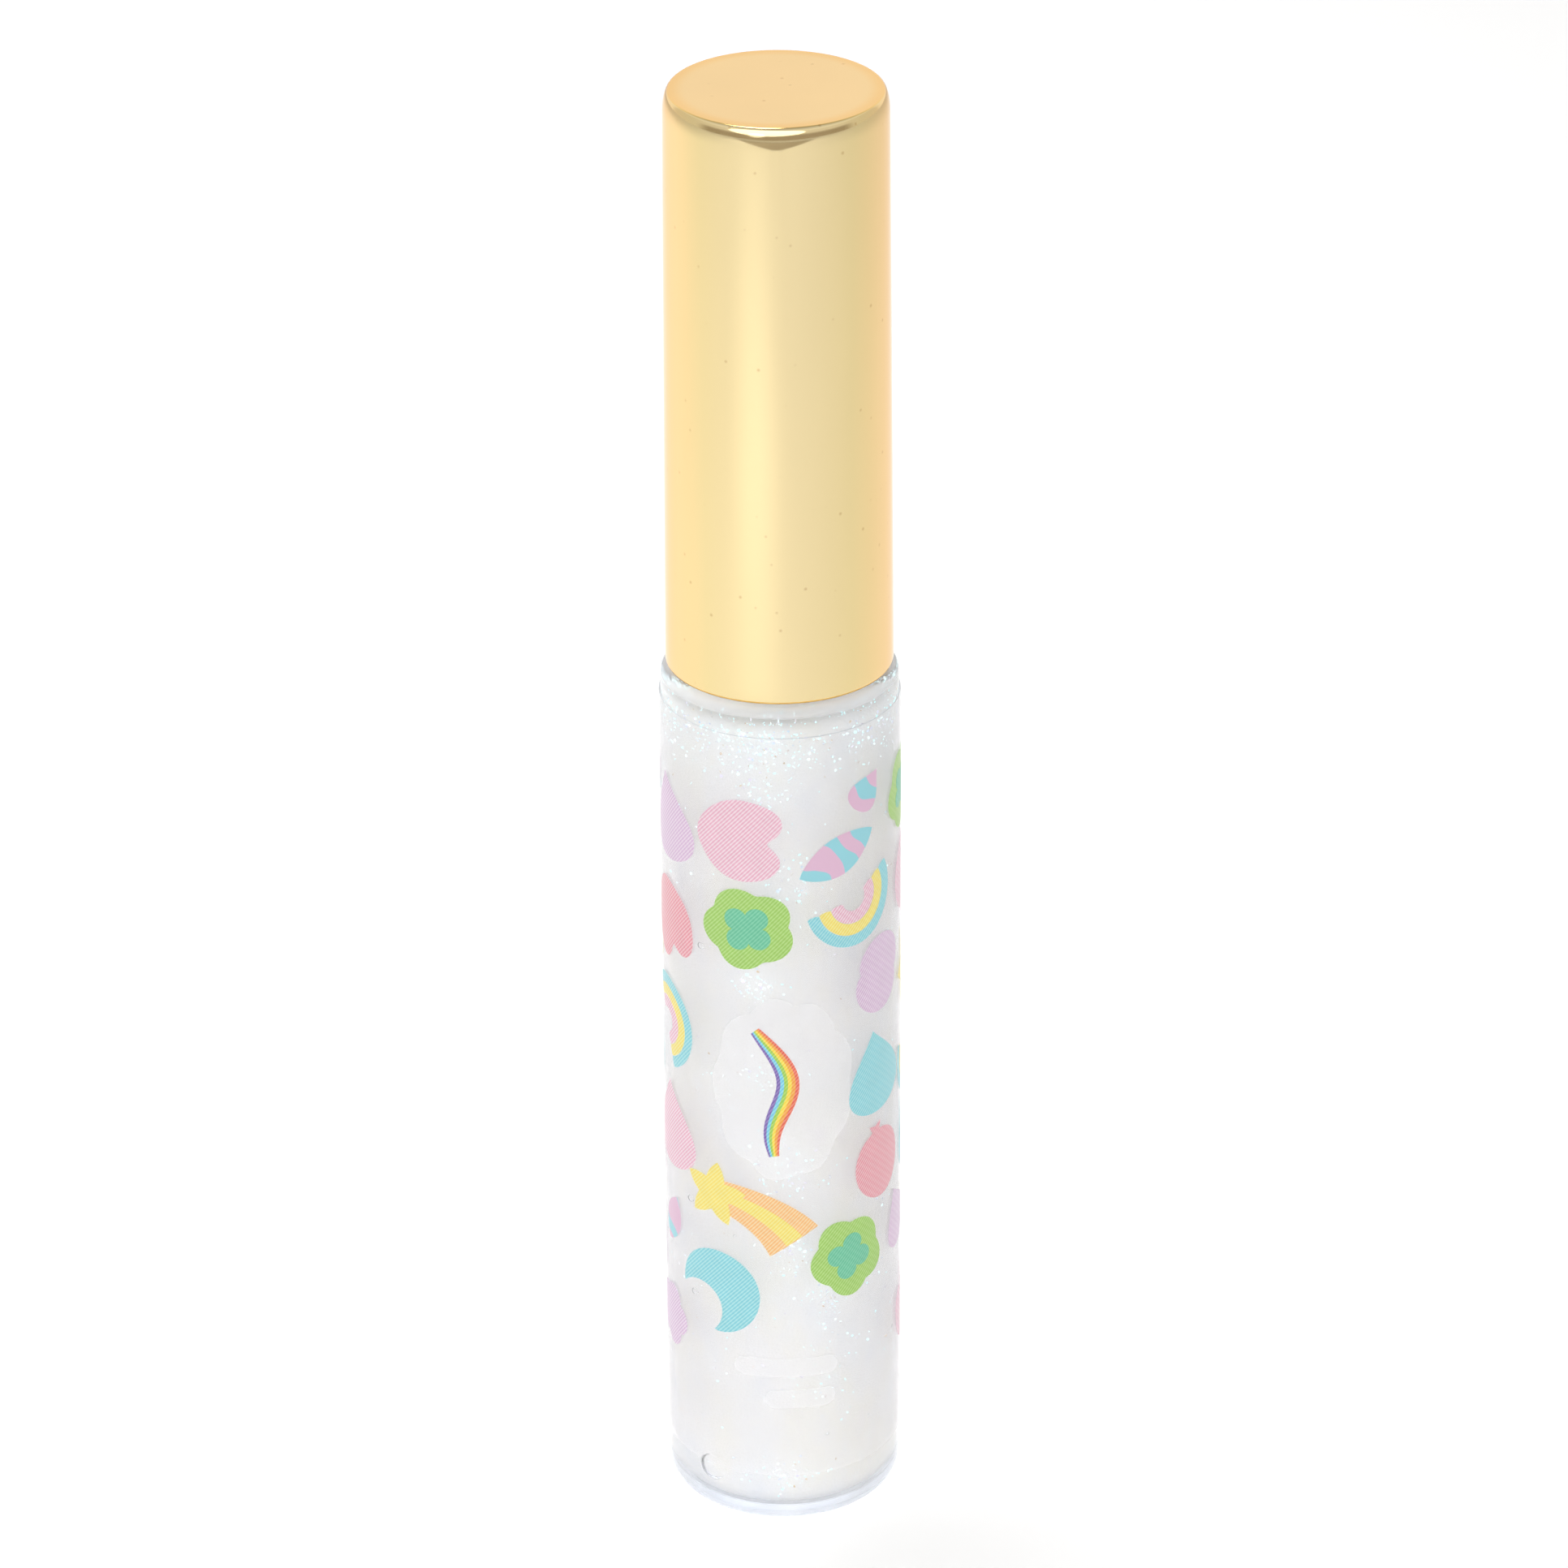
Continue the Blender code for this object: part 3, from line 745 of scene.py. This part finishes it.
INKS = {
    "pink": (srgb(234, 178, 201), srgb(248, 226, 235)),
    "lilac": (srgb(216, 184, 218), srgb(238, 222, 239)),
    "green": (srgb(158, 207, 98), srgb(188, 224, 140)),
    "teal": (srgb(102, 196, 156), srgb(136, 212, 180)),
    "blue": (srgb(136, 213, 225), srgb(176, 230, 236)),
    "yellow": (srgb(247, 226, 112), srgb(251, 240, 156)),
    "orange": (srgb(250, 192, 124), srgb(254, 222, 176)),
    "coral": (srgb(234, 150, 164), srgb(245, 200, 206)),
    "white": (srgb(247, 247, 250), srgb(250, 250, 252)),
    "violet": (srgb(128, 104, 180), srgb(156, 138, 200)),
    "sky": (srgb(120, 206, 236), srgb(160, 224, 244)),
    "lime": (srgb(160, 212, 88), srgb(190, 224, 120)),
    "sun": (srgb(250, 222, 70), srgb(252, 232, 120)),
    "amber": (srgb(246, 166, 66), srgb(250, 190, 110)),
    "red": (srgb(236, 104, 84), srgb(244, 150, 130)),
}


def badge(put, across, up, turn, size):
    put("green", scallop(5, 0.16, 0.92), across, up, turn, size)
    put("teal", petals(4, 0.42), across, up, turn + 45, size * 0.55, 1)


def rainbow(put, across, up, turn, size):
    for ink, inner, outer in (("blue", 0.385, 0.5), ("yellow", 0.262, 0.38), ("pink", 0.13, 0.257)):
        put(ink, band(inner, outer, 0, 195), across, up, turn, size)


def shooting_star(put, across, up, turn, size):
    put("orange", flare(0.92, 1.66, 62, 118), across, up, turn, size)
    put("yellow", flare(1.18, 1.42, 62.6, 116), across, up, turn, size, 1)
    spin = math.radians(turn + 118)
    put("yellow", star(), across + 1.29 * size * math.cos(spin), up + 1.29 * size * math.sin(spin),
        turn + 20, size * 0.92, 2)


def front_icons(put):
    put("pink", heart(), -2.8, 55.1, -93, 6.6)
    badge(put, -2.4, 48.3, 6, 6.9)
    put("candy", lens(6.4, 3.0), 4.2, 53.6, 24)
    put("candy", drop(), 6.6, 58.0, -40, 3.2)
    rainbow(put, 5.4, 50.0, 196, 7.4)
    put("lilac", petals(2, 0.30), 8.1, 43.2, 78, 6.0)
    put("blue", drop(), 7.7, 35.6, 8, 6.6)
    put("coral", balloon(), 8.0, 28.4, 190, 6.0)
    shooting_star(put, -5.2, 19.5, -28, 5.6)
    badge(put, 5.0, 21.6, -58, 6.6)
    put("blue", crescent(), -4.6, 19.2, 226, 6.6)


def left_icons(put):
    put("lilac", drop(), -9.8, 54.8, 12, 6.6)
    put("coral", heart(), -9.9, 46.6, -160, 6.2)
    rainbow(put, -10.6, 38.4, -70, 7.0)
    put("pink", drop(), -10.0, 30.4, 6, 6.8)
    put("candy", lens(4.2, 2.4), -10.0, 22.6, 70)
    put("lilac", petals(5, 0.22), -10.6, 14.6, 0, 5.0)


def right_icons(put):
    badge(put, 12.0, 56.0, 84, 6.2)
    put("pink", balloon(), 13.2, 48.6, 4, 6.4)
    put("yellow", star(), 14.4, 41.0, 12, 6.2)
    rainbow(put, 14.6, 34.4, 160, 7.0)
    put("blue", crescent(), 14.5, 27.2, 20, 5.6)
    put("lilac", drop(), 11.1, 22.4, 20, 5.0)
    put("pink", heart(), 13.6, 13.8, 20, 5.8)


def back_icons(put):
    put("coral", balloon(), 20.2, 56.0, 164, 6.0)
    put("blue", drop(), 19.8, 47.6, -14, 6.4)
    badge(put, 21.2, 40.2, 20, 6.8)
    put("pink", heart(), 20.8, 31.8, -34, 6.4)
    shooting_star(put, 22.0, 16.6, 24, 5.2)
    put("candy", lens(5.6, 2.8), 21.6, 14.2, -30)
    put("lilac", petals(2, 0.30), -21.6, 55.4, 30, 6.0)
    rainbow(put, -20.8, 47.4, 20, 7.2)
    put("yellow", star(), -22.0, 40.0, -10, 6.0)
    badge(put, -20.8, 31.6, -40, 6.8)
    put("blue", crescent(), -21.4, 23.4, 60, 6.4)
    put("coral", heart(), -21.0, 14.8, 10, 6.0)
    put("candy", drop(), -15.6, 56.6, 30, 4.6)
    put("blue", drop(), -15.8, 34.6, -20, 5.2)
    put("pink", petals(5, 0.22), -15.8, 26.6, 10, 5.4)
    put("yellow", star(), -15.9, 42.9, 30, 4.8)
    put("lilac", balloon(), -15.8, 18.0, 0, 5.6)


def plain_panel(put):
    """A frosted white panel with a bent stripe of six colours, and two plain bars under it."""
    put("white", scallop(9, 0.08, 1.38), 0.1, 35.8, 0, 10.6)
    put("white", pill(7.6, 1.5), 0.2, 13.2)
    put("white", pill(5.2, 1.5), 1.2, 10.6)
    stripes = ("violet", "sky", "lime", "sun", "amber", "red")
    for index, ink in enumerate(stripes):
        put(ink, ribbon(STRIPE_WIDTH * (index - 2.5), STRIPE_WIDTH), -0.8, 35.4, layer=1)


def label_artwork():
    """Pastel icons all round the tube, in millimetres across from the front and up from the base."""
    layers = {}

    def put(ink, outline, across, up, turn=0.0, size=1.0, layer=0):
        placed = turned_outline(outline, across, up, turn, size)
        layers.setdefault((ink, layer), []).append([(x * MM, y * MM) for x, y in placed])

    for draw in (front_icons, left_icons, right_icons, back_icons, plain_panel):
        draw(put)
    materials = {name: ink_material(f"ink_{name}", *pair) for name, pair in INKS.items()}
    materials["candy"] = candy_material()
    for (ink, layer), outlines in layers.items():
        print_shapes(f"ink_{ink}_{layer + 1}", outlines, layer, materials[ink])


# ---- bottle, gel, glitter ----
def rows_between(radius, top, bottom, step):
    """Points down a straight wall, close together."""
    count = max(1, round((top - bottom) / step))
    return [(radius, top + (bottom - top) * i / count) for i in range(count + 1)]


def thread_height(angle, height):
    """How far the neck's two-start thread stands out at this place."""
    tallest = 0.0
    for start in range(THREAD_STARTS):
        turn = ((angle / math.tau) - start / THREAD_STARTS) % 1
        while turn <= THREAD_TURNS:
            # The thread fades in over the first and last sixth of a turn
            end = min(turn, THREAD_TURNS - turn)
            size = min(1.0, (end * 32 + 0.6) / 6.0)
            away = abs(height - (THREAD_START_HEIGHT + THREAD_LEAD * turn)) / (0.5 + 0.5 * size)
            flank = (THREAD_BASE / 2 - away) / (THREAD_BASE / 2 - THREAD_CREST / 2)
            tallest = max(tallest, THREAD_RISE * size * min(1.0, max(0.0, flank)))
            turn += 1
    return tallest


def bottle_outline():
    inner = INNER_RADIUS
    outline = [(0, FLOOR_TOP)]
    outline += arc(inner - FLOOR_CORNER, FLOOR_TOP + FLOOR_CORNER, FLOOR_CORNER, -90, 0, 8)
    outline += arc(inner - ROOF_CORNER, ROOF - ROOF_CORNER, ROOF_CORNER, 0, 90, 8)
    outline += [(NECK_BORE + EDGE, ROOF), (NECK_BORE, ROOF + EDGE)]
    outline += [(NECK_BORE, NECK_TOP - EDGE), (NECK_BORE + EDGE, NECK_TOP)]
    outline += [(NECK_RADIUS - EDGE, NECK_TOP)]
    outline += rows_between(NECK_RADIUS, NECK_TOP - EDGE, NECK_ROWS_END, THREAD_ROW)
    outline += arc(NECK_RADIUS + ROOT_FILLET, SHOULDER + ROOT_FILLET, ROOT_FILLET, 180, 270, 5)
    outline += arc(TUBE_RADIUS - SHOULDER_CORNER, SHOULDER - SHOULDER_CORNER, SHOULDER_CORNER, 90, 0, 8)
    outline += arc(TUBE_RADIUS - BASE_CORNER, BASE_CORNER, BASE_CORNER, 0, -90, 12)
    outline += [(DISH_RADIUS, 0), (DISH_RADIUS - DISH_DEPTH, DISH_DEPTH), (0, DISH_DEPTH)]
    return outline


def bottle_shape(radius, height, angle):
    on_neck = abs(radius - NECK_RADIUS) < TINY and SHOULDER + 0.6 * MM < height < NECK_TOP
    return (radius + thread_height(angle, height), height) if on_neck else (radius, height)


def wall_paint(radius, height):
    """1 where gel touches the inside of the bottle, so that the wall doesn't show.
    2 on the shoulder, 3 on the base, 0 elsewhere."""
    inside = radius < INNER_RADIUS + TINY and FLOOR_TOP - TINY < height < ROOF + TINY
    if inside:
        return 1 if radius > NECK_BORE + EDGE or height < GEL_TOP else 0
    on_base = height < BASE_CORNER * 0.8
    on_shoulder = radius > NECK_RADIUS + ROOT_FILLET and height > SHOULDER - SHOULDER_CORNER * 0.9
    return 3 if on_base else 2 if on_shoulder else 0


def make_bottle():
    piece = lathe("bottle_wall", bottle_outline(), BOTTLE_FACETS, wall_paint, bottle_shape)
    shoulder = edge_plastic_material("shoulder_plastic", SHOULDER_CLARITY, srgb(246, 248, 251),
                                     srgb(251, 252, 254), 0.04)
    # The base's darker blue-grey is painted shade along the base's edge, over a moulding that is really
    # cloudier
    base = edge_plastic_material("cloudy_base_and_painted_shade", BASE_CLARITY, srgb(227, 232, 242), srgb(237, 241, 248), 0.12)
    dress(piece, "bottle", "clear_plastic", clear_plastic_material(), wetted_wall_material(), shoulder, base)
    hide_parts("bottle")
    return piece


def bubble_cavities(mesh):
    """Air bubbles as hollows in the gel, their surfaces facing inwards."""
    rng = random.Random(SEED)
    places = [(BIG_BUBBLE_ANGLE, GEL_RADIUS - BIG_BUBBLE - 0.18 * MM, BIG_BUBBLE_HEIGHT, BIG_BUBBLE)]
    while len(places) < BUBBLE_COUNT:
        angle = rng.uniform(0, math.tau)
        size = rng.choice(BUBBLE_SIZES) * MM
        radius = GEL_RADIUS - size - rng.uniform(0.06, 0.5) * MM
        height = rng.uniform(3.5, 58) * MM
        spot = Vector((radius * math.cos(angle), radius * math.sin(angle), height))
        clear = all((spot - Vector((r * math.cos(a), r * math.sin(a), z))).length > size + s + 0.1 * MM
                    for a, r, z, s in places)
        if clear:
            places.append((angle, radius, height, size))
    for angle, radius, height, size in places:
        spot = Matrix.Translation((radius * math.cos(angle), radius * math.sin(angle), height))
        ball = bmesh.ops.create_icosphere(mesh, subdivisions=4 if size > 0.5 * MM else 2, radius=size,
                                          matrix=spot)
        faces = {face for vert in ball["verts"] for face in vert.link_faces}
        bmesh.ops.reverse_faces(mesh, faces=list(faces))
        for face in faces:
            face.material_index = 2
            face.smooth = True


def gel_paint(radius, height):
    """1 on the gel's free top under the neck and in the wand's channel, where the gel meets air."""
    return 1 if radius < NECK_BORE and height > CHANNEL_FLOOR - TINY else 0


def make_gel():
    low = GEL_FLOOR
    outline = [(0, CHANNEL_FLOOR)]
    outline += arc(CHANNEL - CHANNEL_CORNER, CHANNEL_FLOOR + CHANNEL_CORNER, CHANNEL_CORNER, -90, 0, 6)
    outline += [(CHANNEL, GEL_TOP)]
    outline += [(CHANNEL + (GEL_RADIUS - ROOF_CORNER - CHANNEL) * i / 8, GEL_TOP) for i in range(1, 8)]
    outline += arc(GEL_RADIUS - ROOF_CORNER, GEL_TOP - ROOF_CORNER, ROOF_CORNER, 90, 0, 8)
    outline += arc(GEL_RADIUS - FLOOR_CORNER, low + FLOOR_CORNER, FLOOR_CORNER, 0, -90, 8)
    outline += [(0, low)]
    piece = lathe("gel", outline, GEL_FACETS, gel_paint)
    mesh = bmesh.new()
    mesh.from_mesh(piece.data)
    bubble_cavities(mesh)
    mesh.to_mesh(piece.data)
    mesh.free()
    surface = gel_to_air_material("gel_surface", 1.0, 1.47, 0.0, 0.03)
    bubble = gel_to_air_material("bubble", 0.9, 1.24, 0.04, 0.12)
    dress(piece, "bottle", "gloss", gel_material(), surface, bubble)
    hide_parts("gloss_fill")
    return piece


def cloud(radius, height, angle):
    """The pearl swirls gently, so its surface isn't a true cylinder."""
    if radius < CHANNEL + 0.2 * MM:
        return radius, height
    place = Vector((math.cos(angle), math.sin(angle), height / (6 * MM)))
    return radius + fractal(place * 1.4, 0.9, 2.0, 3) * PEARL_SWELL, height


def make_pearl():
    """The milky heart of the gel. It hides the wand and the prints on the far side."""
    low = GEL_FLOOR + 0.12 * MM
    corner = PEARL_CORNER
    outline = [(0, CHANNEL_FLOOR - PEARL_GAP)]
    outline += [(CHANNEL * 0.6, CHANNEL_FLOOR - PEARL_GAP)]
    outline += [(CHANNEL + PEARL_GAP, CHANNEL_FLOOR + CHANNEL_CORNER)]
    outline += [(CHANNEL + PEARL_GAP, PEARL_TOP)]
    outline += [(CHANNEL + 1.4 * MM, PEARL_TOP)]
    outline += arc(PEARL_RADIUS - corner, PEARL_TOP - corner, corner, 90, 0, 8)
    outline += rows_between(PEARL_RADIUS, PEARL_TOP - corner - 0.6 * MM, low + corner + 0.6 * MM, 1.0 * MM)
    outline += arc(PEARL_RADIUS - corner, low + corner, corner, 0, -90, 8)
    outline += [(0, low)]
    piece = lathe("pearl", outline, GEL_FACETS, None, cloud)
    return dress(piece, "bottle", "gloss", haze_material())


def flake(mesh, place, normal, size, thickness):
    """One hexagonal glitter flake."""
    turn = normal.to_track_quat("Z", "Y").to_matrix()
    rings = []
    for side in (-0.5, 0.5):
        ring = []
        for step in range(6):
            angle = math.tau * step / 6
            local = Vector((size * math.cos(angle), size * math.sin(angle), side * thickness))
            ring.append(mesh.verts.new(place + turn @ local))
        rings.append(ring)
    for i in range(6):
        j = (i + 1) % 6
        mesh.faces.new((rings[0][i], rings[0][j], rings[1][j], rings[1][i]))
    mesh.faces.new(rings[0][::-1])
    mesh.faces.new(rings[1])


def glitter_place(rng):
    """A place for a flake, as (across from the front, height, depth behind the wall), all in millimetres."""
    kind = rng.random()
    if kind > LOOSE_SHARE:
        return rng.uniform(-26, 26), (PEARL_TOP + 0.13 * MM) / MM, rng.uniform(0.5, 2.7)
    if kind < CLUSTER_SHARE:
        across, up, wide, tall = rng.choice(CLUSTERS)
        turn = rng.choice(CLUSTER_TURNS)
        return across + turn + rng.gauss(0, wide), up + rng.gauss(0, tall), rng.uniform(0.08, 0.7)
    if kind < ROOF_SHARE:
        return rng.uniform(-26, 26), 63.0 - abs(rng.gauss(0, 1.9)), rng.uniform(0.08, 0.7)
    return rng.uniform(-26, 26), rng.uniform(2.8, 62.6), rng.uniform(0.08, 0.75)


def make_glitter():
    rng = random.Random(SEED + 4)
    mesh = bmesh.new()
    made = 0
    while made < GLITTER_COUNT:
        across, up, depth = glitter_place(rng)
        radius = GEL_RADIUS - depth * MM
        angle = across * MM / LABEL_RADIUS - math.pi / 2
        height = up * MM
        if not GEL_FLOOR + 0.9 * MM < height < GEL_TOP - 0.6 * MM and height < PEARL_TOP:
            continue
        spread = FLAKE_SPREAD_TOP if height > PEARL_TOP else FLAKE_SPREAD
        size = (FLAKE_SIZE + spread * rng.random() ** 2.2) * MM
        place = Vector((radius * math.cos(angle), radius * math.sin(angle), height))
        normal = Vector((rng.gauss(0, 1), rng.gauss(0, 1), rng.gauss(0, 1))).normalized()
        flake(mesh, place, normal, size, FLAKE_THICKNESS)
        made += 1
    data = bpy.data.meshes.new("glitter")
    mesh.to_mesh(data)
    mesh.free()
    return dress(link("glitter", data), "bottle", "gloss", glitter_material())


# ---- film, cap and wand ----
def make_film():
    """The clear film, with rounded edges and a narrow gap where its two ends meet at the back."""
    inner, outer = LABEL_RADIUS - FILM_THICKNESS, LABEL_RADIUS
    middle, half = (inner + outer) / 2, FILM_THICKNESS / 2
    gap = FILM_SEAM / LABEL_RADIUS
    outline = [(outer, LABEL_LOW.z + half)]
    outline += [(outer, LABEL_HIGH.z - half), (middle, LABEL_HIGH.z), (inner, LABEL_HIGH.z - half)]
    outline += [(inner, LABEL_LOW.z + half), (middle, LABEL_LOW.z)]
    mesh = bmesh.new()
    rows = []
    for step in range(FILM_STEPS + 1):
        angle = math.pi / 2 + gap / 2 + (math.tau - gap) * step / FILM_STEPS
        rows.append([mesh.verts.new((r * math.cos(angle), r * math.sin(angle), z)) for r, z in outline])
    count = len(outline)
    for first, second in zip(rows, rows[1:]):
        for i in range(count):
            j = (i + 1) % count
            face = mesh.faces.new((first[i], first[j], second[j], second[i]))
            face.material_index = 1 if i in (1, 2) else 0
    mesh.faces.new(rows[0][::-1])
    mesh.faces.new(rows[-1])
    bmesh.ops.recalc_face_normals(mesh, faces=mesh.faces)
    data = bpy.data.meshes.new("film")
    mesh.to_mesh(data)
    mesh.free()
    data.shade_smooth()
    data.set_sharp_from_angle(angle=math.radians(30))
    piece = dress(link("film", data), "bottle", "printed_film", film_material(), film_edge_material())
    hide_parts("label_film")
    return piece


def cap_paint(radius, height):
    return 1 if height < CAP_LOW.z + LIP_PAINT else 0


def make_cap():
    """Metallised outer cap. Its wall leans in a little and rolls over into the flat top."""
    low, high = CAP_LOW.z, CAP_HIGH.z
    top_radius = CAP_RADIUS - CAP_DRAFT
    outline = [(0, high)]
    outline += [(top_radius * share, high) for share in (0.3, 0.6, 0.85)]
    outline += [(top_radius - ROLL_WIDTH - ROLL_RING, high)]
    for step in range(ROLL_STEPS + 1):
        t = math.pi / 2 * (1 - step / ROLL_STEPS)
        outline.append((top_radius - ROLL_WIDTH + ROLL_WIDTH * math.cos(t),
                        high - ROLL_HEIGHT + ROLL_HEIGHT * math.sin(t)))
    for share in (0.02, 0.25, 0.5, 0.75, 0.98, 1.0):
        outline.append((top_radius + (CAP_RADIUS - top_radius) * share,
                        high - ROLL_HEIGHT + (low + LIP - (high - ROLL_HEIGHT)) * share))
    outline += arc(CAP_RADIUS - LIP, low + LIP, LIP, -8, -90, 6)
    outline += [(CAP_BORE + LIP, low), (CAP_BORE, low + LIP), (CAP_BORE, CAP_ROOF - EDGE)]
    outline += [(CAP_BORE - EDGE, CAP_ROOF), (0, CAP_ROOF)]
    piece = lathe("cap_metal", outline, CAP_FACETS, cap_paint)
    dress(piece, "cap", "pale_gold", gold_material(), lip_material())
    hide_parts("cap_shell")
    return piece


def make_flock():
    """Foam tip covered in short fibres."""
    source = nodes["flock_sleeve"].data
    rng = random.Random(SEED + 9)
    mesh = bmesh.new()
    mesh.from_mesh(source)
    bmesh.ops.triangulate(mesh, faces=mesh.faces)
    faces = [(face.calc_area(), face.normal.copy(), [v.co.copy() for v in face.verts]) for face in mesh.faces]
    normals = [v.normal.copy() for v in mesh.verts]
    for vert, normal in zip(mesh.verts, normals):
        vert.co -= normal * FIBRE_LENGTH * 0.6
    outward = [item for item in faces if abs(item[2][0].to_2d().length) > CORE_OUTER]
    total = sum(area for area, _, _ in outward)
    for area, normal, (a, b, c) in outward:
        share = FIBRE_COUNT * area / total
        for _ in range(int(share) + (rng.random() < share % 1)):
            u, v = sorted((rng.random(), rng.random()))
            root = a * u + b * (v - u) + c * (1 - v) - normal * FIBRE_LENGTH * 0.7
            lean = Vector((rng.gauss(0, 1), rng.gauss(0, 1), rng.gauss(0, 1)))
            tip = root + (normal + lean * 0.25).normalized() * FIBRE_LENGTH * rng.uniform(0.7, 1.0)
            side = normal.orthogonal().normalized() * FIBRE_WIDTH
            around = normal.cross(side)
            corners = [mesh.verts.new(root + side), mesh.verts.new(root - side * 0.5 + around * 0.87),
                       mesh.verts.new(root - side * 0.5 - around * 0.87)]
            top = mesh.verts.new(tip)
            mesh.faces.new(corners[::-1])
            for i in range(3):
                mesh.faces.new((corners[i], corners[(i + 1) % 3], top))
    data = bpy.data.meshes.new("flock")
    mesh.to_mesh(data)
    mesh.free()
    data.shade_smooth()
    flocking = moulded_material("flock_fibre", srgb(226, 222, 216), srgb(246, 243, 238), 0.82, 0.0, 1600)
    piece = dress(link("flock", data), "cap", "flock", flocking)
    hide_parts("flock_sleeve")
    return piece


def finish_hidden_parts():
    """Better surfaces for the pieces that keep their CAD shapes."""
    white = moulded_material("white_moulding", srgb(232, 232, 230), srgb(243, 243, 241), 0.38)
    soft = moulded_material("wiper_plastic", srgb(226, 229, 232), srgb(240, 242, 244), 0.45, 0.35, 700)
    foam = moulded_material("foam_seal", srgb(228, 228, 224), srgb(244, 244, 241), 0.75, 0.0, 2600)
    rod = moulded_material("rod_plastic", srgb(238, 240, 243), srgb(250, 251, 252), 0.14, 0.85, 500)
    looks = {"inner_cap": white, "wiper": soft, "gasket": foam, "stem": rod, "applicator_core": white}
    for name, material in looks.items():
        data = nodes[name].data
        data.materials.clear()
        data.materials.append(material)
        data.shade_smooth()
        data.set_sharp_from_angle(angle=math.radians(33))


# ---- stage, light and camera ----
def make_camera():
    data = bpy.data.cameras.new("camera")
    data.sensor_width = CAMERA_SENSOR
    data.lens = CAMERA_LENS
    data.clip_start = 0.01
    camera = link("camera", data)
    tilt = math.radians(CAMERA_ELEVATION)
    camera.location = (SIDE_STEP, -CAMERA_DISTANCE * math.cos(tilt),
                       AIM_HEIGHT + CAMERA_DISTANCE * math.sin(tilt))
    look = Matrix.Rotation(math.pi / 2 - tilt, 4, "X")
    roll = Matrix.Rotation(math.radians(-CAMERA_ROLL), 4, "Z")
    camera.rotation_euler = (look @ roll).to_euler()
    bpy.context.scene.camera = camera


def area_light(name, location, size, power, aim, spread):
    data = bpy.data.lights.new(name, "AREA")
    data.shape = "ELLIPSE"
    data.size, data.size_y = size
    data.energy = power
    data.spread = math.radians(spread)
    light = link(name, data)
    light.location = location
    light.rotation_euler = (Vector(aim) - Vector(location)).to_track_quat("-Z", "Y").to_euler()
    return light


def make_world():
    """A bright plain room, dimmer beside the tube and low down behind the camera."""
    world = bpy.data.worlds.new("studio")
    bpy.context.scene.world = world
    world.use_nodes = True
    tree = world.node_tree
    axes = axes_of(tree, add_node(tree, "ShaderNodeTexCoord").outputs["Generated"])
    in_front = maths(tree, "MULTIPLY", fade(tree, axes["Y"], -0.04, -0.35), fade(tree, axes["Z"], 0.30, 0.14))
    beside = maths(tree, "MULTIPLY", fade(tree, axes["Y"], 0.66, 0.50), fade(tree, axes["Z"], 0.60, 0.42))
    colour = ramp(tree, axes["Z"], (0.5, grey(1.0)), (1.0, grey(WORLD_ZENITH)))
    for place, dim in ((in_front, FRONT_DIM), (beside, SIDE_DIM)):
        colour = multiplied(tree, colour, ramp(tree, place, (0.0, grey(1.0)), (1.0, dim)))
    strength = fade(tree, axes["Y"], 0.35, 0.85, WORLD_LIGHT, WORLD_LIGHT * BACK_GLOW)
    give(tree, tree.nodes["Background"], {"Color": colour, "Strength": strength})


def make_floor():
    """A pale floor with a darker band in front, which the cap's edge reflects as a shallow V."""
    grid = bmesh.new()
    bmesh.ops.create_grid(grid, x_segments=4, y_segments=4, size=FLOOR_SIZE)
    mesh = bpy.data.meshes.new("floor")
    grid.to_mesh(mesh)
    grid.free()
    piece = link("floor", mesh)
    piece.location.z = -0.02 * MM
    material, tree, shader = new_material("floor")
    axes = axes_of(tree, object_coordinates(tree))
    sideways = maths(tree, "MAXIMUM", maths(tree, "ABSOLUTE", axes["X"]), FLOOR_BLUNT)
    away = maths(tree, "MULTIPLY_ADD", sideways, FLOOR_SLANT, axes["Y"])
    dark = fade(tree, away, *FLOOR_EDGE)
    near = fade(tree, axes["Y"], *FLOOR_RETURN, FLOOR_FAR_SHARE)
    shade = ramp(tree, maths(tree, "MULTIPLY", dark, near), (0.0, grey(FLOOR_PALE)), (1.0, FLOOR_FAR))
    give(tree, shader, {"Base Color": shade, "Roughness": 0.9, "Specular IOR Level": 0.2})
    mesh.materials.append(material)


# ---- build ----
no_shadow = [make_bottle(), make_gel(), make_film(), make_pearl(), make_glitter(), make_flock()]
no_shadow += [nodes[name] for name in ("stem", "applicator_core", "wiper", "gasket")]
no_shadow.append(make_cap())
for piece in no_shadow:
    piece.visible_shadow = False
finish_hidden_parts()
label_artwork()
make_world()
make_floor()
make_camera()
for light in LIGHTS:
    area_light(*light)
bpy.context.scene.view_settings.view_transform = "Standard"
